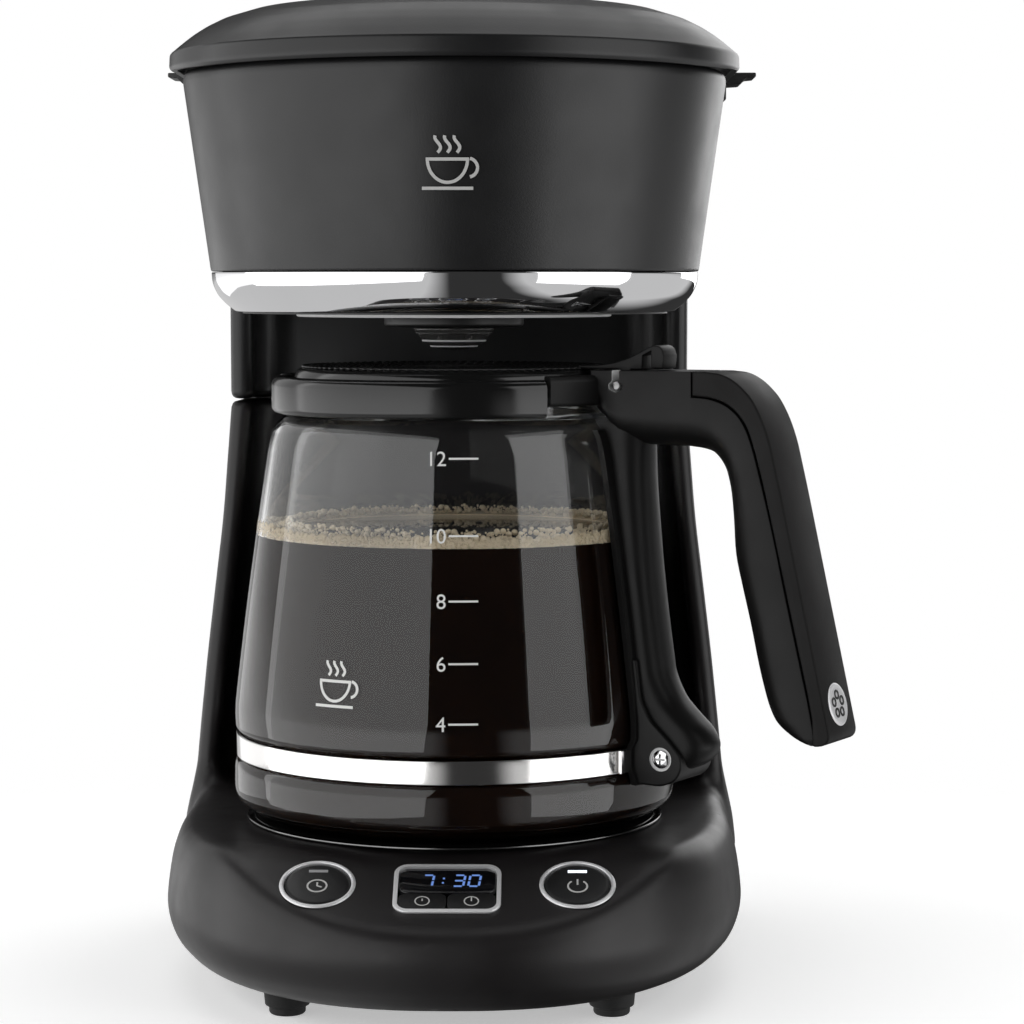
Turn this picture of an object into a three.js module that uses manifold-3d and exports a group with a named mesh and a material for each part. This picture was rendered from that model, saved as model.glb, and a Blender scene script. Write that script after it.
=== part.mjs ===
// A drip coffee maker with a glass carafe: millimetres, +Z up, the front faces -Y.
// The origin is at the middle of the footprint, on the surface that the feet stand on.

import * as THREE from 'three';
import { mergeVertices } from 'three/addons/utils/BufferGeometryUtils.js';
import Module from 'manifold-3d';

const wasm = await Module();
wasm.setup();

// ---------- Driving dimensions ----------

const GAP = 0.3;                 // clearance between pieces that touch
const WALL = 2.5;                // moulded housing wall
const ROUND = 36;                // steps around a housing
const CORNER = 6;                // squareness of the rear corners
const BASE_NOSE = 2.3;           // squareness of the base's front; 2 is an ellipse

// Heights from the counter
const BASE_BOTTOM = 8;
const DECK = 53.5;
const HOUSING_SEAM = 192;
const CHROME_BOTTOM = 224;
const HEAD_BOTTOM = 237.5;
const HEAD_TOP = 304.2;
const LID_BOTTOM = 305;
const LID_TOP = 328;

// Column and niche
const COLUMN_FRONT = 45;
const NICHE_BACK = 66;
const NICHE_TOP_HALF = 73.5;
const NICHE_BOTTOM_HALF = 88;

// Sloped control panel
const CREASE_Y = -83.8;
const PANEL_SLOPE = THREE.MathUtils.degToRad(26);
const BUTTON_X = 40.7;
const BUTTON_DROP = -18;         // along the slope, from the crease
const BUTTON_R = 10.3;
const RING_R = 12;
const DISPLAY_DROP = -20.2;
const DISPLAY_WIDTH = 33.7;
const DISPLAY_HEIGHT = 24.4;
const BEZEL = 1.4;

// Brewing parts share one upright axis with the carafe
const BREW_Y = -15;
const HOTPLATE_R = 68;
const VALVE_R = 14;
const SEAT_R = 23.5;
const BASKET_TOP_R = 62;
const BASKET_TOP = 285;

// Lid hinge
const HINGE_Y = 110;
const HINGE_Z = 306.5;
const EAR_OUTER = 109;
const EAR_WALL = 96.4;            // inner face of the upright that holds the pin

// Carafe
const HANDLE_TURN = THREE.MathUtils.degToRad(-29);
const GLASS_BOTTOM = 55;
const GLASS_WALL = 2;
const GLASS_RIM = 199;
const NECK_R = 56.5;
const BAND_LOW = 75.2;
const BAND_HIGH = 82.9;
const COLLAR_R = 61.5;
const COLLAR_LOW = 190.2;
const COLLAR_HIGH = 202.6;
const SPINE_HALF = 9.6;
const ARM_HALF = 11;
const ARM_TOP = 205.4;
const ARM_UNDER = 181;
const HANDLE_END = 88;
const PIVOT_U = 67;
const PIVOT_Z = 200.5;
const PIN_R = 1.6;
const LEVER_HALF = 4.5;

// ---------- Materials ----------

function material(color, roughness, metalness = 0) {
  return new THREE.MeshStandardMaterial({ color, roughness, metalness });
}

const charcoal = material(0x3a3a3b, 0.55);
const warmBlack = material(0x262423, 0.5);
const innerBlack = material(0x1b1b1c, 0.6);
const glossBlack = material(0x0c0c0d, 0.2);
const chrome = material(0xd9dadc, 0.08, 1);
const steel = material(0xa8aaac, 0.3, 1);
const rubber = material(0x151515, 0.85);
const milky = material(0xd8d8d2, 0.5);
const smoke = material(0x4a4744, 0.25);
const aluminium = material(0xb8babc, 0.45, 1);
const board = material(0x1f5a34, 0.6);
const amber = material(0xb88a4a, 0.5);
const glass = new THREE.MeshStandardMaterial({
  color: 0xe6ecec, roughness: 0.03, metalness: 0, transparent: true, opacity: 0.35,
});

// ---------- Solids ----------

// A closed, welded copy of a geometry with its faces pointing out.
function weld(geometry) {
  const bare = new THREE.BufferGeometry();
  const source = geometry.index ? geometry.toNonIndexed() : geometry;
  bare.setAttribute('position', source.getAttribute('position').clone());
  const merged = mergeVertices(bare, 1e-3);
  const place = merged.getAttribute('position');
  const index = merged.index.array;
  const faces = [];
  let volume = 0;
  const [a, b, c] = [new THREE.Vector3(), new THREE.Vector3(), new THREE.Vector3()];
  for (let i = 0; i < index.length; i += 3) {
    const [p, q, r] = [index[i], index[i + 1], index[i + 2]];
    if (p === q || q === r || r === p) continue;
    faces.push([p, q, r]);
    volume += a.fromBufferAttribute(place, p)
      .dot(b.fromBufferAttribute(place, q).cross(c.fromBufferAttribute(place, r)));
  }
  merged.setIndex(faces.flatMap(([p, q, r]) => (volume < 0 ? [p, r, q] : [p, q, r])));
  return merged;
}

function toSolid(shape) {
  if (!shape.isBufferGeometry) return shape;
  const welded = weld(shape);
  return new wasm.Manifold(new wasm.Mesh({
    numProp: 3,
    vertProperties: new Float32Array(welded.getAttribute('position').array),
    triVerts: new Uint32Array(welded.index.array),
  }));
}

function toGeometry(shape) {
  if (shape.isBufferGeometry) return weld(shape);
  const mesh = shape.getMesh();
  const geometry = new THREE.BufferGeometry();
  geometry.setAttribute('position', new THREE.BufferAttribute(mesh.vertProperties, 3));
  geometry.setIndex(new THREE.BufferAttribute(mesh.triVerts, 1));
  return geometry;
}

const join = (...shapes) => shapes.map(toSolid).reduce((sum, next) => sum.add(next));
const cut = (shape, ...tools) =>
  tools.map(toSolid).reduce((rest, tool) => rest.subtract(tool), toSolid(shape));
const common = (shape, other) => toSolid(shape).intersect(toSolid(other));

// A round solid about the Z axis from [radius, z] points, starting and ending on the axis.
function turned(points, segments = 24) {
  const outline = points.map(([radius, z]) => new THREE.Vector2(radius, z));
  return new THREE.LatheGeometry(outline, segments).rotateX(Math.PI / 2);
}

// A ring about the Z axis: the profile closes on itself.
const ring = (points, segments = 24) => turned([...points, points[0]], segments);

function washer(inner, outer, low, high, segments = 24) {
  return ring([[inner, low], [outer, low], [outer, high], [inner, high]], segments);
}

function rod(radius, low, high, segments = 16) {
  return turned([[0, low], [radius, low], [radius, high], [0, high]], segments);
}

function block([x0, x1], [y0, y1], [z0, z1]) {
  return new THREE.BoxGeometry(x1 - x0, y1 - y0, z1 - z0)
    .translate((x0 + x1) / 2, (y0 + y1) / 2, (z0 + z1) / 2);
}

// One height of a housing: half-width at the sides, reach to the front and to the rear.
const level = (z, side, front, rear) => ({ z, side, front, rear });
const axisPoint = (z) => level(z, 0, 0, 0);
const inset = (levels, wall) => levels.map(({ z, side, front, rear }) =>
  level(z, side - wall, front - wall, rear - wall));

// A lathe whose plan is an ellipse, or a little squarer, at the front and squarish at the rear.
function loft(levels, nose = 2) {
  const outline = levels.map(({ side, z }) => new THREE.Vector2(side, z));
  const geometry = new THREE.LatheGeometry(outline, ROUND);
  const place = geometry.getAttribute('position');
  for (let i = 0; i < place.count; i += 1) {
    const { z, side, front, rear } = levels[i % levels.length];
    const turn = (Math.floor(i / levels.length) / ROUND) * 2 * Math.PI;
    const [c, s] = [Math.cos(turn), Math.sin(turn)];
    const power = s < 0 ? nose : CORNER;
    const squash = (value) => Math.sign(value) * Math.abs(value) ** (2 / power);
    place.setXYZ(i, side * squash(c), (s < 0 ? front : rear) * squash(s), z);
  }
  return geometry;
}

function solidLoft(levels, nose = 2) {
  return loft([axisPoint(levels[0].z), ...levels, axisPoint(levels.at(-1).z)], nose);
}

// An outline in the X-Z plane, drawn out along Y between two places.
function slab(outline, low, high) {
  const shape = Array.isArray(outline)
    ? new THREE.Shape(outline.map(([u, z]) => new THREE.Vector2(u, z))) : outline;
  return new THREE.ExtrudeGeometry(shape, { depth: high - low, bevelEnabled: false, curveSegments: 6 })
    .rotateX(Math.PI / 2).translate(0, high, 0);
}

function roundedRectangle(width, height, radius) {
  const shape = new THREE.Shape();
  const [w, h, r] = [width / 2, height / 2, radius];
  shape.moveTo(-w + r, -h).lineTo(w - r, -h).absarc(w - r, -h + r, r, -Math.PI / 2, 0);
  shape.lineTo(w, h - r).absarc(w - r, h - r, r, 0, Math.PI / 2);
  shape.lineTo(-w + r, h).absarc(-w + r, h - r, r, Math.PI / 2, Math.PI);
  shape.lineTo(-w, -h + r).absarc(-w + r, -h + r, r, Math.PI, Math.PI * 1.5);
  return shape;
}

function plate(shape, low, high, curveSegments = 4) {
  return new THREE.ExtrudeGeometry(shape, { depth: high - low, bevelEnabled: false, curveSegments })
    .translate(0, 0, low);
}

// A round bar along a curve, or along a smooth path through points.
function bar(points, radius, steps, sides = 6) {
  const section = new THREE.Shape();
  for (let k = 0; k < sides; k += 1) {
    const turn = (k / sides) * 2 * Math.PI;
    section[k ? 'lineTo' : 'moveTo'](radius * Math.cos(turn), radius * Math.sin(turn));
  }
  section.closePath();
  const path = Array.isArray(points)
    ? new THREE.CatmullRomCurve3(points.map((p) => new THREE.Vector3(...p)), false, 'centripetal')
    : points;
  return new THREE.ExtrudeGeometry(section, { steps, bevelEnabled: false, extrudePath: path });
}

function piece(parent, name, shape, look) {
  const mesh = new THREE.Mesh(toGeometry(shape), look.clone());
  mesh.name = name;
  parent.add(mesh);
  return mesh;
}

const machine = new THREE.Group();

// ---------- Housings ----------

const panelPlace = new THREE.Matrix4().makeRotationX(PANEL_SLOPE).setPosition(0, CREASE_Y, DECK);
const onPanel = (geometry) => geometry.applyMatrix4(panelPlace);
const panelFront = (depth) => onPanel(block([-150, 150], [-90, depth], [-depth, 60]));

const columnLevels = [
  level(DECK - 12, 96.6, 94, 111.2),
  level(70, 94.2, 90, 109.8),
  level(100, 91.1, 90, 108.4),
  level(125, 88.1, 88, 107.4),
  level(150, 85, 85, 106.4),
  level(HOUSING_SEAM - GAP, 81.7, 82, 105),
];

function columnSolid(levels, front, nicheBack, nicheTrim) {
  const [low, high] = [levels[0].z - 1, levels.at(-1).z + 1];
  const spread = (z) => NICHE_TOP_HALF
    + (NICHE_BOTTOM_HALF - NICHE_TOP_HALF) * Math.min(1, (HOUSING_SEAM - z) / (HOUSING_SEAM - DECK));
  const half = (z) => spread(Math.min(z, HOUSING_SEAM)) - nicheTrim;
  const niche = slab([[-half(low), low], [half(low), low], [half(high), high], [-half(high), high]],
    front - 5, nicheBack);
  return cut(common(solidLoft(levels), block([-120, 120], [front, 130], [low, high])), niche);
}

function makeLowerHousing() {
  const baseLevels = [
    level(BASE_BOTTOM, 85, 112, 99.5),
    level(11, 90.4, 117, 104),
    level(17, 95.8, 122.3, 110),
    level(25, 98.2, 125, 112),
    level(35, 97.2, 124, 112),
    level(43, 95.8, 122.5, 111.6),
    level(49, 93.6, 121, 110.8),
    level(DECK, 91.4, 119, 109.8),
  ];
  const column = columnSolid(columnLevels, COLUMN_FRONT, NICHE_BACK, 0);
  const outer = join(solidLoft(baseLevels, BASE_NOSE), column);
  const innerLevels = inset(baseLevels, WALL);
  innerLevels[0].z = BASE_BOTTOM - 1;
  innerLevels.at(-1).z = DECK - WALL;
  const baseRoom = cut(solidLoft(innerLevels, BASE_NOSE), panelFront(WALL / Math.cos(PANEL_SLOPE)));
  const columnRoomLevels = inset(columnLevels, WALL);
  columnRoomLevels.at(-1).z = HOUSING_SEAM + 2;
  const columnRoom = common(solidLoft(columnRoomLevels),
    block([-120, 120], [NICHE_BACK + WALL, 130], [DECK - 11, HOUSING_SEAM + 1]));
  const openings = [
    rod(HOTPLATE_R - 1.7, DECK - 10, DECK + 10, 32).translate(0, BREW_Y, 0),
    ...[-1, 1].map((side) =>
      onPanel(rod(RING_R + GAP, -8, 8, 24).translate(side * BUTTON_X, BUTTON_DROP, 0))),
    onPanel(plate(roundedRectangle(DISPLAY_WIDTH + 2 * GAP, DISPLAY_HEIGHT + 2 * GAP, 5), -8, 8)
      .translate(0, DISPLAY_DROP, 0)),
    rod(4.3, -10, 10, 16).rotateX(Math.PI / 2).translate(-40, 110, 22),
  ];
  return cut(outer, panelFront(0), baseRoom, columnRoom, ...openings);
}

function makeNeckHousing() {
  const levels = [
    level(HOUSING_SEAM + GAP, 81.9, 82, 105),
    level(HEAD_BOTTOM - GAP, 82, 82, 103),
  ];
  const room = inset(levels, WALL);
  room[0].z -= 2;
  room[1].z += 2;
  return cut(columnSolid(levels, COLUMN_FRONT, NICHE_BACK, 0),
    common(solidLoft(room), block([-120, 120], [NICHE_BACK + WALL, 130], [180, 250])));
}

const headLevels = [
  level(HEAD_BOTTOM, 82.9, 82.9, 103),
  level(301.5, 91.9, 91.9, 106.4),
  level(303.4, 91.6, 91.6, 106),
  level(HEAD_TOP, 91, 91, 105),
];

function makeHeadShell() {
  const outer = headLevels;
  const inner = inset([outer[3], outer[0]], WALL);
  inner[0].side = outer[1].side - WALL;
  inner[0].front = inner[0].side;
  inner[0].rear = outer[1].rear - WALL;
  inner[0].side -= 1.2;
  return loft([...outer, ...inner, outer[0]]);
}

function makeChromeTrim() {
  const outer = [
    level(CHROME_BOTTOM, 74.6, 74.6, 94),
    level(226.6, 77.8, 77.8, 96),
    level(230, 80.8, 80.8, 98),
    level(233.5, 82.7, 82.7, 99),
    level(HEAD_BOTTOM - GAP, 82.7, 82.7, 100),
  ];
  const inner = inset(outer, 1.6).reverse();
  const front = block([-120, 120], [-120, COLUMN_FRONT - GAP], [200, 260]);
  return common(loft([...outer, ...inner, outer[0]]), front);
}

function makeHeadFloor() {
  const floor = solidLoft([
    level(CHROME_BOTTOM - 0.8, 72.4, 72.4, 150),
    level(CHROME_BOTTOM + 1.8, 72.6, 72.6, 150),
  ]);
  return cut(common(floor, block([-120, 120], [-120, NICHE_BACK - GAP], [200, 260])),
    rod(SEAT_R + 1.2, 200, 260, 32).translate(0, BREW_Y, 0));
}

piece(machine, 'lower_housing', makeLowerHousing(), warmBlack);
piece(machine, 'neck_housing', makeNeckHousing(), charcoal);
piece(machine, 'head_shell', makeHeadShell(), charcoal);
piece(machine, 'chrome_trim', makeChromeTrim(), chrome);
piece(machine, 'head_floor', makeHeadFloor(), innerBlack);

// ---------- Underside: plate, feet, screws, cord gland ----------

const PLATE_LOW = BASE_BOTTOM + 0.4;
const plateLevels = [level(PLATE_LOW, 81, 108, 95.8), level(PLATE_LOW + 2, 81.8, 108.8, 96.6)];
piece(machine, 'base_plate', solidLoft(plateLevels, BASE_NOSE), innerBlack);

const footPlaces = [[-52, -79.5], [52, -79.5], [-56, 74], [56, 74]];
footPlaces.forEach(([x, y], k) => {
  const top = BASE_BOTTOM - GAP;
  const foot = turned([[0, 0], [5.4, 0], [5.9, 0.6], [5.9, 2.6], [7.2, 3], [7.6, top], [0, top]], 14);
  piece(machine, `foot_${k + 1}`, foot.translate(x, y, 0), rubber);
});

const screwPlaces = [[-62, -28], [62, -28], [-30, 84], [30, 84]];
screwPlaces.forEach(([x, y], k) => {
  const top = PLATE_LOW - GAP;
  const screw = turned([[0, top - 1.2], [2.4, top - 1.2], [3.2, top - 0.5], [3.2, top], [0, top]], 10);
  piece(machine, `plate_screw_${k + 1}`, screw.translate(x, y, 0), steel);
});

const gland = ring([
  [2.6, 103], [5.6, 103], [5.6, 105.8], [4, 105.8], [4, 112.3], [5.6, 112.3], [5, 115], [2.6, 115],
], 16).rotateX(-Math.PI / 2);
piece(machine, 'cord_gland', gland.translate(-40, 0, 22), rubber);

// ---------- Water path ----------

function makeReservoir() {
  const outer = [level(64, 76.5, 90, 98), level(292, 76.5, 90, 98)];
  const inner = inset(outer, 2);
  inner[0].z += 2;
  inner[1].z += 5;
  const clip = (front, low) => block([-120, 120], [front, 130], [low, 300]);
  const tub = common(solidLoft(outer), clip(NICHE_BACK + WALL + 1.5, 64));
  const room = common(solidLoft(inner), clip(NICHE_BACK + WALL + 3.5, 66));
  const holes = [[57, 82, 6.4], [-30, 84, 3.6]].map(([x, y, radius]) =>
    rod(radius, 60, 70, 16).translate(x, y, 0));
  return cut(tub, room, ...holes);
}

piece(machine, 'water_tank', makeReservoir(), smoke);

const riserPath = [
  [40, 60, 40], [50, 72, 43], [57, 82, 58], [57, 82, 120],
  [57, 82, 270], [56, 80, 291], [52, 68, 300], [46, 56, 301],
];
const inletPath = [[-30, 84, 62], [-30, 84, 52], [-34, 74, 43], [-40, 62, 40]];
piece(machine, 'riser_tube', bar(riserPath, 4.2, 22), milky);
piece(machine, 'inlet_hose', bar(inletPath, 4.4, 10), milky);
piece(machine, 'check_valve', rod(2.8, 62.6, 74, 12).translate(-30, 84, 0), milky);

class HeaterPath extends THREE.Curve {
  getPoint(t, target = new THREE.Vector3()) {
    const turn = THREE.MathUtils.degToRad(118 + 304 * t);
    return target.set(47 * Math.cos(turn), BREW_Y + 47 * Math.sin(turn), 43.5);
  }
}
piece(machine, 'heater_tube', bar(new HeaterPath(), 5.2, 24), aluminium);

const HOTPLATE_TOP = DECK + 1.1;
piece(machine, 'hotplate', turned([
  [0, DECK - 1.8], [HOTPLATE_R - 2.3, DECK - 1.8], [HOTPLATE_R - 2.3, DECK + GAP],
  [HOTPLATE_R, DECK + GAP], [HOTPLATE_R, HOTPLATE_TOP], [0, HOTPLATE_TOP]], 32)
  .translate(0, BREW_Y, 0), glossBlack);
piece(machine, 'hotplate_ring', washer(HOTPLATE_R + GAP, HOTPLATE_R + 2.4, DECK + GAP, DECK + 1.2, 32)
  .translate(0, BREW_Y, 0), chrome);
piece(machine, 'thermostat',
  turned([[0, 44], [8, 44], [8, 49], [6.5, 51], [0, 51]], 20).translate(0, BREW_Y - 14, 0), amber);
piece(machine, 'thermal_fuse',
  rod(3, -12, 12, 12).rotateY(Math.PI / 2).translate(0, BREW_Y + 16, 46), aluminium);

// ---------- Control panel ----------

const panel = new THREE.Group();
panel.position.set(0, CREASE_Y, DECK);
panel.rotation.x = PANEL_SLOPE;
machine.add(panel);

for (const [side, name] of [[-1, 'timer'], [1, 'start']]) {
  const place = [side * BUTTON_X, BUTTON_DROP, 0];
  const bezel = ring([
    [BUTTON_R + GAP, -2.6], [RING_R, -2.6], [RING_R, 0.4], [RING_R - 0.6, 0.9], [BUTTON_R + GAP, 0.7],
  ], 24);
  piece(panel, `${name}_button_ring`, bezel.translate(...place), chrome);
  const cap = turned([[0, -6.5], [BUTTON_R, -6.5], [BUTTON_R, 0.1], [BUTTON_R - 1.2, 0.7], [0, 1]], 24);
  piece(panel, `${name}_button`, cap.translate(...place), charcoal);
}

function makeBezel() {
  const outer = plate(roundedRectangle(DISPLAY_WIDTH, DISPLAY_HEIGHT, 4.7), -2.6, 0.8);
  const hole = roundedRectangle(DISPLAY_WIDTH - 2 * BEZEL, DISPLAY_HEIGHT - 2 * BEZEL, 3.4);
  return cut(outer, plate(hole, -5, 5)).translate([0, DISPLAY_DROP, 0]);
}

const SCREEN_WIDTH = DISPLAY_WIDTH - 2 * BEZEL - 2 * GAP;
const SCREEN_HEIGHT = 12.4;
const KEY_HEIGHT = DISPLAY_HEIGHT - 2 * BEZEL - SCREEN_HEIGHT - 3 * GAP;
const KEY_WIDTH = (SCREEN_WIDTH - GAP) / 2;
const screenY = DISPLAY_DROP + DISPLAY_HEIGHT / 2 - BEZEL - GAP - SCREEN_HEIGHT / 2;
const keyY = DISPLAY_DROP - DISPLAY_HEIGHT / 2 + BEZEL + GAP + KEY_HEIGHT / 2;

piece(panel, 'display_bezel', makeBezel(), chrome);
piece(panel, 'display_window',
  plate(roundedRectangle(SCREEN_WIDTH, SCREEN_HEIGHT, 3), -2, 0.2).translate(0, screenY, 0), glossBlack);
piece(panel, 'display_module',
  block([-14, 14], [screenY - 5.6, screenY + 5.6], [-8.4, -2 - GAP]), innerBlack);
for (const [side, name] of [[-1, 'hour_key'], [1, 'minute_key']]) {
  const key = plate(roundedRectangle(KEY_WIDTH, KEY_HEIGHT, 2.6), -5, 0.4);
  piece(panel, name, key.translate(side * (KEY_WIDTH + GAP) / 2, keyY, 0), charcoal);
}
piece(panel, 'control_board', block([-44, 44], [-23, -3], [-10.4, -8.8]), board);

// ---------- Lid and hinge ----------

// Half-width of the lid at each height; it reaches a little further to the rear.
const LID_REAR = 1.155;
const lidLevels = (rows) => rows.map(([half, z]) => level(z, half, half, half * LID_REAR));

function makeLid() {
  const outer = lidLevels([
    [95.6, LID_BOTTOM], [96.4, LID_BOTTOM + 0.8], [96.2, 309.8], [92, 313.3], [84.4, 318.6],
    [79, 321.3], [69, 324.4], [52, 326.6], [34, 327.6], [0, LID_TOP],
  ]);
  const inner = lidLevels([
    [0, LID_TOP - WALL], [34, 325.1], [52, 324.1], [68, 321.9], [77.6, 319], [83, 316.3],
    [90.3, 311.3], [93.4, 309.2], [93.4, LID_BOTTOM],
  ]);
  const shell = loft([...outer, ...inner, outer[0]]);
  const lugs = [-1, 1].map((side) => {
    const [near, far] = [72, EAR_WALL - 0.4];
    const tab = block([Math.min(side * near, side * far), Math.max(side * near, side * far)],
      [98, HINGE_Y + 2], [HINGE_Z - 1, HINGE_Z + 3]);
    const hub = rod(3.5, 86, far, 16).rotateY(side * Math.PI / 2).translate(0, HINGE_Y, HINGE_Z);
    return join(tab, hub);
  });
  const sockets = [-1, 1].map((side) => rod(PIN_R + 0.5, 84, 120, 16)
    .rotateY(side * Math.PI / 2).translate(0, HINGE_Y, HINGE_Z));
  return cut(join(shell, ...lugs), ...sockets);
}

piece(machine, 'top_lid', makeLid(), charcoal);

for (const [side, name] of [[-1, 'left'], [1, 'right']]) {
  const arm = slab([[70, 297], [92, 297.5], [98, 301.5], [98, 306.9], [103.4, 307.2], [105.6, 309.4],
    [EAR_OUTER, 309.7], [EAR_OUTER, 311.4], [EAR_WALL, 311.4], [EAR_WALL, 301.6], [70, 300.4],
  ].map(([u, z]) => [side * u, z]), 94, HINGE_Y + 4);
  const pinHole = rod(PIN_R + 0.2, 90, 97.8, 16).rotateY(side * Math.PI / 2)
    .translate(0, HINGE_Y, HINGE_Z);
  const ear = cut(arm, solidLoft(inset(headLevels, -GAP)), pinHole);
  piece(machine, `hinge_ear_${name}`, ear, innerBlack);
  const pin = rod(PIN_R, 88, 97.4, 14).rotateY(side * Math.PI / 2).translate(0, HINGE_Y, HINGE_Z);
  piece(machine, `hinge_pin_${name}`, pin, steel);
}

piece(machine, 'shower_head', turned([
  [0, 306.4], [38, 306.4], [38, 309], [12, 310.4], [6, 313], [6, 324.6], [0, 324.6]], 28)
  .translate(0, BREW_Y, 0), innerBlack);

// ---------- Brew basket, filter and drip stop ----------

const brew = new THREE.Group();
brew.position.y = BREW_Y;
machine.add(brew);

const BASKET_FLOOR = 230.5;
piece(brew, 'brew_basket', ring([
  [20, 222.6], [22.6, 222.6], [22.6, 226.6], [46, 228],
  [BASKET_TOP_R - 2, BASKET_TOP - 2], [BASKET_TOP_R + 3, BASKET_TOP - 2],
  [BASKET_TOP_R + 3, BASKET_TOP], [BASKET_TOP_R - 2.2, BASKET_TOP], [44.4, BASKET_FLOOR + 2],
  [6, BASKET_FLOOR + 2], [6, BASKET_FLOOR], [20, BASKET_FLOOR]], 28), innerBlack);
piece(brew, 'coffee_filter', turned([
  [0, 241], [43, 241], [57.4, BASKET_TOP + GAP], [61.5, BASKET_TOP + GAP], [61.5, BASKET_TOP + 1.4],
  [56.4, BASKET_TOP + 1.4], [42, 242], [0, 242]], 28), amber);
piece(brew, 'drip_stop_seat', washer(VALVE_R + 0.6, SEAT_R, 219, 222.6 - GAP), innerBlack);
piece(brew, 'drip_stop', turned([
  [0, 211], [6, 211.4], [11, 213], [VALVE_R, 216], [VALVE_R, 218], [4, 218.4], [4, 233], [9, 233],
  [9, 234.6], [0, 235.4]], 20), smoke);

class SpringPath extends THREE.Curve {
  getPoint(t, target = new THREE.Vector3()) {
    const turn = t * 2 * Math.PI * 4;
    return target.set(8 * Math.cos(turn), 8 * Math.sin(turn), 219.4 + 10.2 * t);
  }
}
piece(brew, 'drip_stop_spring', bar(new SpringPath(), 0.5, 44, 4), steel);

// ---------- Carafe ----------

const carafe = new THREE.Group();
carafe.position.y = BREW_Y;
carafe.rotation.z = HANDLE_TURN;
machine.add(carafe);

// Outside of the glass, bottom to rim.
const glassOutside = [
  [60, GLASS_BOTTOM], [69, 57.2], [74, 61], [74.6, 65], [74.4, 72], [73.8, 74.2], [72.6, 75],
  [72.6, 83.1], [74.2, 84.8], [74.3, 91],
  [73.2, 101], [70.5, 124], [65.8, 158], [62.4, 180], [60.8, 185.6], [58, 188.4],
  [NECK_R, 190], [NECK_R, GLASS_RIM],
];
const glassInside = glassOutside.map(([radius, z]) => [radius - GLASS_WALL, z]).reverse();
glassInside[glassInside.length - 1] = [59, GLASS_BOTTOM + GLASS_WALL];
glassInside[glassInside.length - 2] = [67.4, 59];
piece(carafe, 'carafe_glass', turned([
  [0, GLASS_BOTTOM], ...glassOutside, ...glassInside, [0, GLASS_BOTTOM + GLASS_WALL]], 32), glass);

piece(carafe, 'carafe_band', washer(72.9, 73.9, BAND_LOW, BAND_HIGH, 32), steel);

const bracketRoom = block([50, 80], [-ARM_HALF - GAP, ARM_HALF + GAP], [180, 215]);
const spout = slab([[-60, 196], [-66, 201.5], [-65, 202.6], [-60, 202.6]], -7, 7);
const collar = ring([[NECK_R + 0.6, COLLAR_LOW], [60.6, COLLAR_LOW], [COLLAR_R, 192], [COLLAR_R, 200.6],
  [60, COLLAR_HIGH], [NECK_R + 0.6, COLLAR_HIGH]], 32);
piece(carafe, 'carafe_collar', cut(join(collar, spout), bracketRoom), glossBlack);

function makeSpine() {
  const outline = new THREE.Shape();
  outline.moveTo(76, 74.6).lineTo(86, 74.6).quadraticCurveTo(98.4, 76, 98.6, 84.5);
  outline.quadraticCurveTo(96, 90, 83, 105).lineTo(79.6, 124).lineTo(76, 158);
  outline.lineTo(75, ARM_UNDER - 0.8).lineTo(74, ARM_UNDER - 0.8).lineTo(74, ARM_TOP);
  outline.lineTo(58, ARM_TOP).lineTo(58, 191.4).lineTo(62.8, 187).lineTo(66.6, 158);
  outline.lineTo(71.3, 124).lineTo(75.2, 94);
  const pinHole = rod(PIN_R + 0.2, -20, 20, 16).rotateX(Math.PI / 2).translate(PIVOT_U, 0, PIVOT_Z);
  const leverSlot = block([50, 72.4], [-5, 5], [195.5, 220]);
  const screwHole = rod(1.9, -20, 20, 14).rotateX(Math.PI / 2).translate(84, -15, 80);
  return cut(slab(outline, -SPINE_HALF, SPINE_HALF), pinHole, leverSlot, screwHole);
}

// Outer line of the handle: reach from the carafe's axis at a height.
const HANDLE_LEAN = 0.228;
const reach = (z) => 120.9 + HANDLE_LEAN * (188 - z);

// Where the outer cover meets the grip, from the arm down to the end.
const seam = [
  [94, 197.4], [101, 196.8], [106.2, 195.1], [110.4, 191.9], [113.6, 187.4], [115.8, 181.5],
  [120.9, 163], [127.2, 136.6], [131.9, 117], [136.6, 96],
];

function makeGrip() {
  const start = 74 + GAP;
  const outline = [
    [start, ARM_TOP], [94, ARM_TOP], ...seam, [137.2, 91.6], [137, HANDLE_END], [134, HANDLE_END],
    [131.4, 88.5], [124.6, 91.4], [118.8, 98.4], [114.6, 112.6], [108.8, 137], [105.7, 158],
    [104.3, 170], [101.3, 176.8], [95, 180.4], [90, ARM_UNDER], [start, ARM_UNDER],
  ];
  return slab(outline, -ARM_HALF, ARM_HALF);
}

function makeCover() {
  const outside = [
    [94 + GAP, ARM_TOP], [99, ARM_TOP], [104.6, 204.7], [109.1, 202.6], [113, 199.4], [116.1, 195.7],
    [119.2, 189.9], [121.6, 183.4], [126.6, 163], [reach(93), 93], [reach(89), 89.6],
    [140.6, HANDLE_END], [137 + GAP, HANDLE_END], [137.2 + GAP, 91.6],
  ];
  const inside = seam.map(([u, z]) => [u + GAP, z]).reverse();
  return slab([...outside, ...inside], -ARM_HALF, ARM_HALF);
}

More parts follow.
